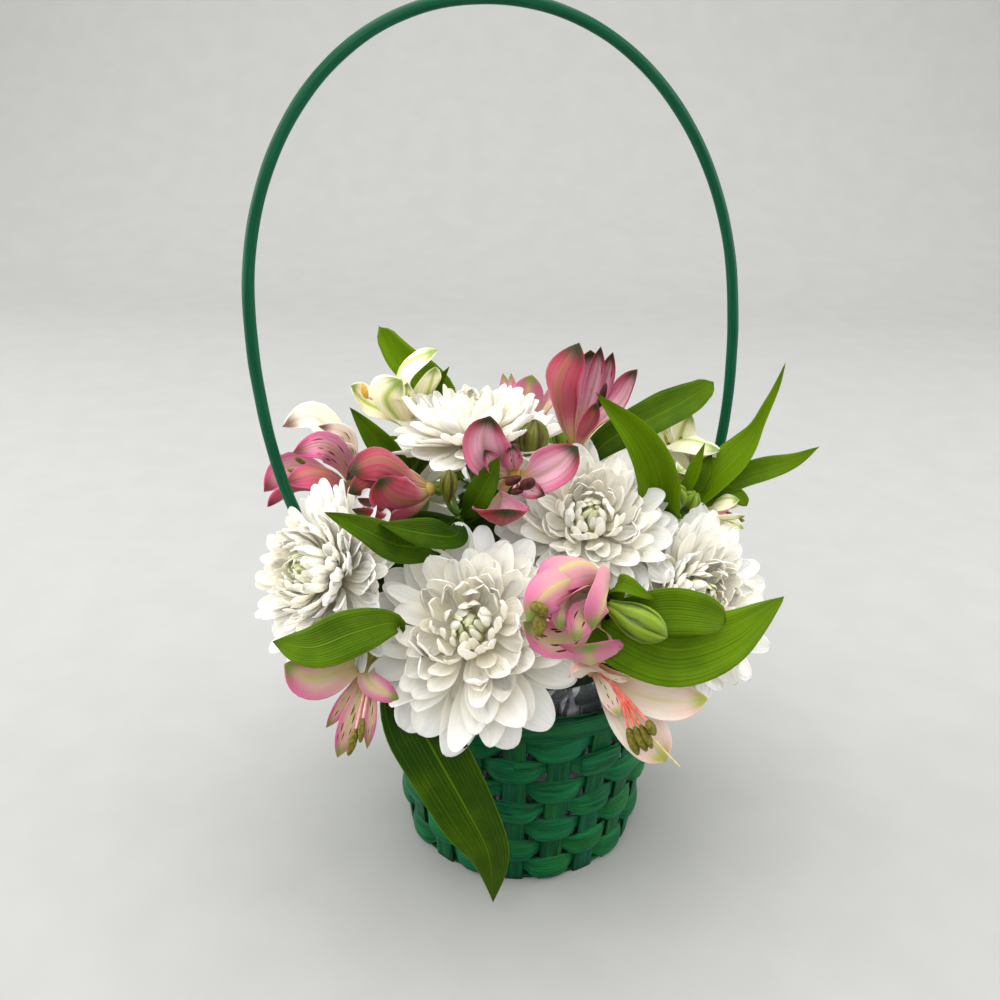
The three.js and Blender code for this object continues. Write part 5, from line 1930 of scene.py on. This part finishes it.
def top_left() -> Lily:
    """The cream flower at the top left.

    Returns:
        The flower.
    """
    return Lily(
        "floret_top_left", (-49, 27, 177), (-0.3, -0.1, 0.95), 41, Opening.OPEN, 50, CREAM, seed=30,
        tepals=(
            Tepal(((-56.3, 27, 191.4), (-55.2, 25, 206.4), (-39.7, 23, 215.6)), 19, (0.45, 0.3, -0.85),
                  curl=0.6),
            Tepal(((-57, 16, 188.9), (-60, 10, 199.4), (-53.4, 9, 207)), 20, (0.3, 0.95, 0.1), curl=0.7),
            Tepal(((-62.7, 26, 186.5), (-71.5, 25, 191.8), (-76.4, 20, 200.3)), 15, (0.5, -0.5, 0.7),
                  curl=0.6),
            Tepal(((-46, 26, 190.3), (-43.2, 24, 200.1), (-40.6, 22, 208.6)), 13, (-0.6, 0.75, 0), curl=0.5),
            Tepal(((-52.8, 20, 193.6), (-52, 16, 203.6)), 9, (0, -0.95, 0.1), False),
            Tepal(((-60, 24, 190), (-66, 20, 197)), 9, (0.5, -0.8, 0.3), False),
        ),
        stamens=(Stamen(((-58, 26, 188), (-70, 22, 194.7)), (-71.6, 21, 201), 1.7),),
        anther=AMBER_ANTHER,
    )


def sprig_list() -> list[Sprig]:
    """Places the leafy stems with their flowers.

    Returns:
        All of them.
    """
    wide, half = Opening.OPEN, Opening.HALF
    blunt, broad, tailed = Outline.BLUNT, Outline.BROAD, Outline.TAILED
    return [
        Sprig(
            "sprig_left_low",
            ((-25, -30, 84), (-28, -34, 98), (-36, -43, 111), (-50, -59, 118)),
            [low_left()],
            [
                Leaf(((-46, -66, 101), (-36, -76, 86), (-23.5, -82, 64), (-14.5, -82, 42), (-12, -78, 12)),
                     28, (-0.25, -0.9, 0.35), 0.10, 0.10, 0.03, broad),
                Leaf(((-50, -77, 143), (-64, -83, 142.4), (-79, -82, 135.4), (-95.3, -75, 133.2)), 18,
                     (-0.1, -0.75, 0.65), 0.32, 0.06, 0.04, Outline.STALKED),
            ],
            [],
            31,
        ),
        Sprig(
            "sprig_right_low",
            ((15, -36, 84), (17, -39, 98), (21, -54, 122), (27, -66, 140)),
            [front_globe(), low_right()],
            [
                Leaf(((28, -84, 149.5), (40, -87, 143.2), (51, -86, 139.5), (71, -79, 141.2),
                     (93.9, -62, 149)), 27, (0.1, -0.80, 0.58), 0.54, 0.08, 0.05, broad),
                Leaf(((36, -84, 152), (47, -86, 155.5), (58, -84, 153.5), (69, -80, 148)), 16,
                     (0.1, -0.85, 0.5), 0.42, 0.10, 0.02, blunt),
                Leaf(((29.9, -88, 166.7), (36.5, -90, 164.9), (42, -88, 160.9)), 9, (0.1, -0.6, 0.8), 0.5),
            ],
            [Bud((25, -91, 160.5), (45.5, -97, 151.5), 5.9)],
            32,
        ),
        Sprig(
            "sprig_centre",
            ((-19, -15, 84), (-21, -18, 110), (-26, -25, 150), (-29, -28, 164)),
            [centre_left(), centre()],
            [
                Leaf(((-38, -46, 160), (-49, -58, 164.8), (-61.7, -68, 176.4), (-74.6, -70, 183.7)), 14,
                     (0.2, -0.75, 0.6), 0.16),
                Leaf(((-29.4, -46, 163.4), (-40, -58, 169.9), (-56.4, -64, 176.9)), 12, (0.1, -0.7, 0.7),
                     0.05),
                # These four leaves fill the hollow among the blooms; their lowest tones are painted shade for
                # it.
                Leaf(((-36, -24, 146), (-50, -28, 139), (-70, -34, 128)), 26, (0.1, -0.6, 0.8), 0.0),
                Leaf(((-40, -18, 150), (-56, -25, 149), (-76, -30, 144)), 24, (0.1, -0.7, 0.7), 0.04),
                Leaf(((-27, -12, 152), (-16, -10, 156), (2, -8, 150)), 24, (0.1, -0.8, 0.6), 0.04),
                Leaf(((-22, -20, 140), (-8, -24, 132), (8, -30, 128)), 26, (0, -0.5, 0.85), 0.0),
                Leaf(((-22, -34, 172), (-17, -35, 183), (-13, -33, 191)), 11, (-0.3, -0.9, 0.2), 0.15),
            ],
            [Bud((-0.2, -8, 179), (1, -5, 196), 6.4, True), Bud((-33, -33, 172), (-32, -35, 186), 3.6, True)],
            33,
        ),
        Sprig(
            "sprig_top_right",
            ((6, 3, 84), (8, 4, 110), (13, 2, 150), (16, 0, 168)),
            [top_right()],
            [
                Leaf(((31, 4, 183), (52, 9, 193.5), (66, 16, 199), (76, 20, 205)), 16, (-0.3, -0.75, 0.6),
                     0.24, outline=blunt),
            ],
            [],
            34,
        ),
        Sprig(
            "sprig_right",
            ((29, 1, 84), (34, 0, 100), (48, -2, 134), (61, -4, 156)),
            [
                Lily(
                    "floret_right_back", (72, 18, 156), (-0.5, 0.35, 0.8), 34, half, 0, CREAM, seed=27,
                    tepals=(
                        Tepal(((60, 16, 177), (66.6, 10, 182.2), (79, 6, 179.5)), 17, (-0.1, 0.2, -0.95)),
                        Tepal(((64.8, 24, 172), (66, 27, 180.9), (69, 26, 189)), 15, (-0.2, -0.9, 0.3)),
                        Tepal(((62, 12, 170), (56, 7, 176), (52, 4, 182)), 14, (-0.4, -0.7, 0.5)),
                        Tepal(((66, 8, 168), (64, 1, 173), (60, -4, 174)), 12, (-0.1, -0.6, 0.8)),
                        Tepal(((60, 20, 174), (57, 20, 184), (60, 18, 189)), 8, (0.1, -0.95, 0), False),
                        Tepal(((68, 14, 172), (74, 11, 178), (82, 9, 176)), 8, (0, -0.8, 0.5), False),
                    ),
                ),
                Lily(
                    "floret_far_right", (72, 4, 149), (0.93, 0.3, 0.14), 27, half, 30, CREAM, seed=28,
                    tepals=(
                        Tepal(((76, 0, 157), (81, -3, 161.7), (87, -4, 161.8)), 11, (0.1, 0.3, -0.9)),
                        Tepal(((76.6, -4, 153), (82.7, -8, 155), (89, -8, 156.7)), 10, (0.1, 0.5, 0.8)),
                        Tepal(((78, 10, 152), (85, 13, 155), (92, 13, 152)), 11, (0, -0.8, 0.5)),
                        Tepal(((77, 2, 150), (84, 0, 150), (91, -1, 147)), 7, (0, -0.5, 0.8), False),
                        Tepal(((76, 8, 146), (84, 12, 143), (91, 14, 139)), 10, (0.3, 0.3, 0.9)),
                    ),
                ),
            ],
            [
                Leaf(((54, -14, 162), (51, -19, 178.5), (42, -23, 195.5), (22.8, -22, 214)), 17,
                     (-0.3, -0.85, 0.3), 0.86, 0.40, 0.05, broad),
                Leaf(((70, 0, 158), (79.5, 4, 169.3), (92.4, 8, 184.6), (98.4, 10, 201),
                     (102.3, 10, 217.4)), 17, (-0.5, -0.5, 0.72), 1.0, 0.22, 0.05, tailed),
                Leaf(((86.4, 6, 166.5), (99, 8, 170.5), (111.7, 10, 174.6), (121.8, 12, 180)), 11,
                     (-0.2, -0.7, 0.7), 0.50),
                Leaf(((65.7, -7, 173), (70.1, -5, 187.8)), 6, (-0.6, -0.7, 0.2), 0.78),
                Leaf(((71.7, 4, 171.6), (76.1, 8, 177.4)), 9, (-0.3, -0.9, 0.2), 0.3),
                Leaf(((80, 2, 161.8), (87.6, 1, 161), (91, -1, 157.7)), 8, (0.1, -0.7, 0.6), 0.6,
                     outline=blunt),
            ],
            [Bud((61, -9, 160), (58, -14, 172), 4.4), Bud((64, -8, 160), (67, -12, 168), 3.8)],
            35,
        ),
        Sprig(
            "sprig_left_back",
            ((-25, 7, 84), (-30, 8, 104), (-46, 9, 138), (-57, 9, 154)),
            [left_back(), top_left()],
            [
                Leaf(((-56, -3, 174), (-65, -5, 188), (-73.2, -7, 200.4)), 11, (0.3, -0.9, 0.3), 0.3, 0.18,
                     0.03),
                Leaf(((-40, 41, 187.5), (-46.4, 43, 196.4), (-57, 44, 205), (-66.4, 44, 219)), 15,
                     (0.3, -0.9, 0.2), 0.62, outline=blunt),
                Leaf(((-42, 30, 190), (-38, 28, 202), (-35, 28, 207)), 9, (-0.1, -0.9, 0.3), 0.25),
            ],
            [],
            36,
        ),
        Sprig(
            "sprig_back_left",
            ((-15, 30, 84), (-16, 33, 100), (-20, 42, 124), (-24, 52, 140)),
            [
                Lily("floret_back_left", (-33, 64, 142), (-0.35, 0.8, 0.48), 40, wide, 0, DEEP_PINK,
                     anther=DARK_ANTHER, seed=41),
                Lily("floret_back_top", (-6, 52, 160), (0.2, 0.5, 0.84), 36, half, 30, PALE_PINK, seed=42),
            ],
            [
                Leaf(((-44, 66, 150), (-60, 76, 154), (-78, 82, 148)), 14, (-0.2, 0.4, 0.9), 0.5),
                Leaf(((-34, 54, 178), (-47, 52, 194), (-57, 49, 206), (-67, 47, 219)), 13,
                     (-0.5, -0.8, 0.1), 0.55),
            ],
            [Bud((-24, 60, 152), (-26, 70, 168), 5.5)],
            37,
        ),
        Sprig(
            "sprig_back_right",
            ((16, 30, 84), (17, 33, 100), (20, 42, 122), (23, 52, 138)),
            [Lily("floret_back_right", (30, 64, 142), (0.4, 0.8, 0.44), 40, wide, 25, CREAM, seed=43)],
            [
                Leaf(((34, 60, 158), (46, 70, 170), (60, 80, 172)), 15, (0, 0.3, 0.95), 0.6),
                Leaf(((14, 72, 152), (6, 86, 154), (-2, 100, 146)), 14, (0, 0.6, 0.8), 0.4),
            ],
            [Bud((18, 58, 154), (15, 64, 170), 5.5)],
            38,
        ),
        Sprig(
            "sprig_back_low",
            ((34, 25, 84), (36, 27, 98), (48, 38, 110), (58, 46, 114)),
            [Lily("floret_back_low", (67, 54, 115), (0.66, 0.62, -0.42), 42, wide, 0, SALMON, seed=44)],
            [
                Leaf(((66, 38, 108), (76, 26, 92), (79, 14, 68), (77, 6, 46)), 22, (0.85, 0.4, 0.35), 0.45),
                Leaf(((48, 66, 112), (36, 80, 98), (28, 84, 76)), 20, (0.3, 0.85, 0.4), 0.35),
            ],
            [],
            39,
        ),
    ]


# fmt: on
# ---------------------------------------------------------------- studio
@dataclass
class Studio:
    """The backdrop, the lights and the camera, in metres."""

    eye: Triple = (-0.0135, -0.4236, 0.3508)
    pitch: float = math.radians(24.49)
    yaw: float = math.radians(0.14)
    roll: float = math.radians(1.20)
    lens: float = 39.92
    lamps: Sequence[tuple[str, Triple, Triple, float, float]] = (
        ("softbox_top", (0.0, 0.35, 1.3), (0.0, 0.25, 0.0), 1.4, 18.0),
        ("softbox_left", (-1.2, 0.1, 0.5), (0.0, 0.0, 0.12), 1.1, 15.5),
        ("softbox_right", (1.2, 0.1, 0.5), (0.0, 0.0, 0.12), 1.1, 11.0),
        ("softbox_front", (-0.2, -0.8, 1.0), (0.0, 0.0, 0.12), 0.8, 6.0),
    )

    def camera(self) -> None:
        """Sets the camera."""
        cp, sp, cy, sy = math.cos(self.pitch), math.sin(self.pitch), math.cos(self.yaw), math.sin(self.yaw)
        ahead = Vector((sy * cp, cy * cp, -sp))
        right = Vector((cy, -sy, 0.0))
        up = right.cross(ahead)
        x = right * math.cos(self.roll) + up * math.sin(self.roll)
        y = up * math.cos(self.roll) - right * math.sin(self.roll)
        data = bpy.data.cameras.new("camera")
        data.lens = self.lens
        data.sensor_width = 36.0
        data.clip_start = 0.01
        made = bpy.data.objects.new("camera", data)
        rows = [(x[i], y[i], -ahead[i], self.eye[i]) for i in range(3)]
        made.matrix_world = Matrix([*rows, (0.0, 0.0, 0.0, 1.0)])
        bpy.context.scene.collection.objects.link(made)
        bpy.context.scene.camera = made

    @staticmethod
    def backdrop() -> None:
        """Lays the pale floor, which sweeps up into a wall behind."""
        reach, bend, wall, top = 6.0, 0.9, 0.6, 2.5
        line = [(-reach, 0.0), (0.0, 0.0), (bend, 0.0)]
        for degrees in range(5, 95, 5):
            angle = math.radians(degrees)
            line.append((bend + wall * math.sin(angle), wall * (1.0 - math.cos(angle))))
        line.append((bend + wall, top))
        points = [(x, y, z) for y, z in line for x in (-reach, reach)]
        faces = [(2 * i, 2 * i + 1, 2 * i + 3, 2 * i + 2) for i in range(len(line) - 1)]
        mesh = bpy.data.meshes.new("backdrop")
        mesh.from_pydata(points, [], faces)
        mesh.shade_smooth()
        n = Nodes("pale_paper")
        grain = n.noise(n.place(), 30.0, 3.0)
        colour = n.mix(n.band(grain, 0.3, 0.7), (0.348, 0.350, 0.340), (0.360, 0.362, 0.352))
        mesh.materials.append(n.close(colour, 0.7, None, Specular_IOR_Level=0.1))
        made = bpy.data.objects.new("backdrop", mesh)
        bpy.context.scene.collection.objects.link(made)

    @staticmethod
    def lamp(name: str, place: Triple, target: Triple, size: float, power: float) -> None:
        """Hangs one soft square lamp.

        Args:
            name: its name.
            place: where it hangs.
            target: where it looks.
            size: its width.
            power: in watts.
        """
        data = bpy.data.lights.new(name, "AREA")
        data.size = size
        data.energy = power
        made = bpy.data.objects.new(name, data)
        aim = Vector(target) - Vector(place)
        made.rotation_euler = aim.to_track_quat("-Z", "Y").to_euler()
        made.location = place
        bpy.context.scene.collection.objects.link(made)

    def build(self) -> None:
        """Sets the whole studio."""
        world = bpy.data.worlds.new("studio")
        world.use_nodes = True
        background = world.node_tree.nodes["Background"]
        background.inputs[0].default_value = (1.0, 1.0, 0.98, 1.0)
        background.inputs[1].default_value = 0.90
        scene = bpy.context.scene
        scene.world = world
        scene.view_settings.view_transform = "Standard"
        self.backdrop()
        for lamp in self.lamps:
            self.lamp(*lamp)
        self.camera()


def main() -> None:
    """Builds the studio and every piece, in order."""
    logging.basicConfig(level=logging.INFO, format="%(message)s")
    Studio().build()
    ChipBasket().build()
    CaneHandle().build()
    Filling().build()
    for bloom in bloom_list():
        bloom.build()
    for sprig in sprig_list():
        sprig.build()
    bpy.context.view_layer.update()


if __name__ == "__main__":
    main()
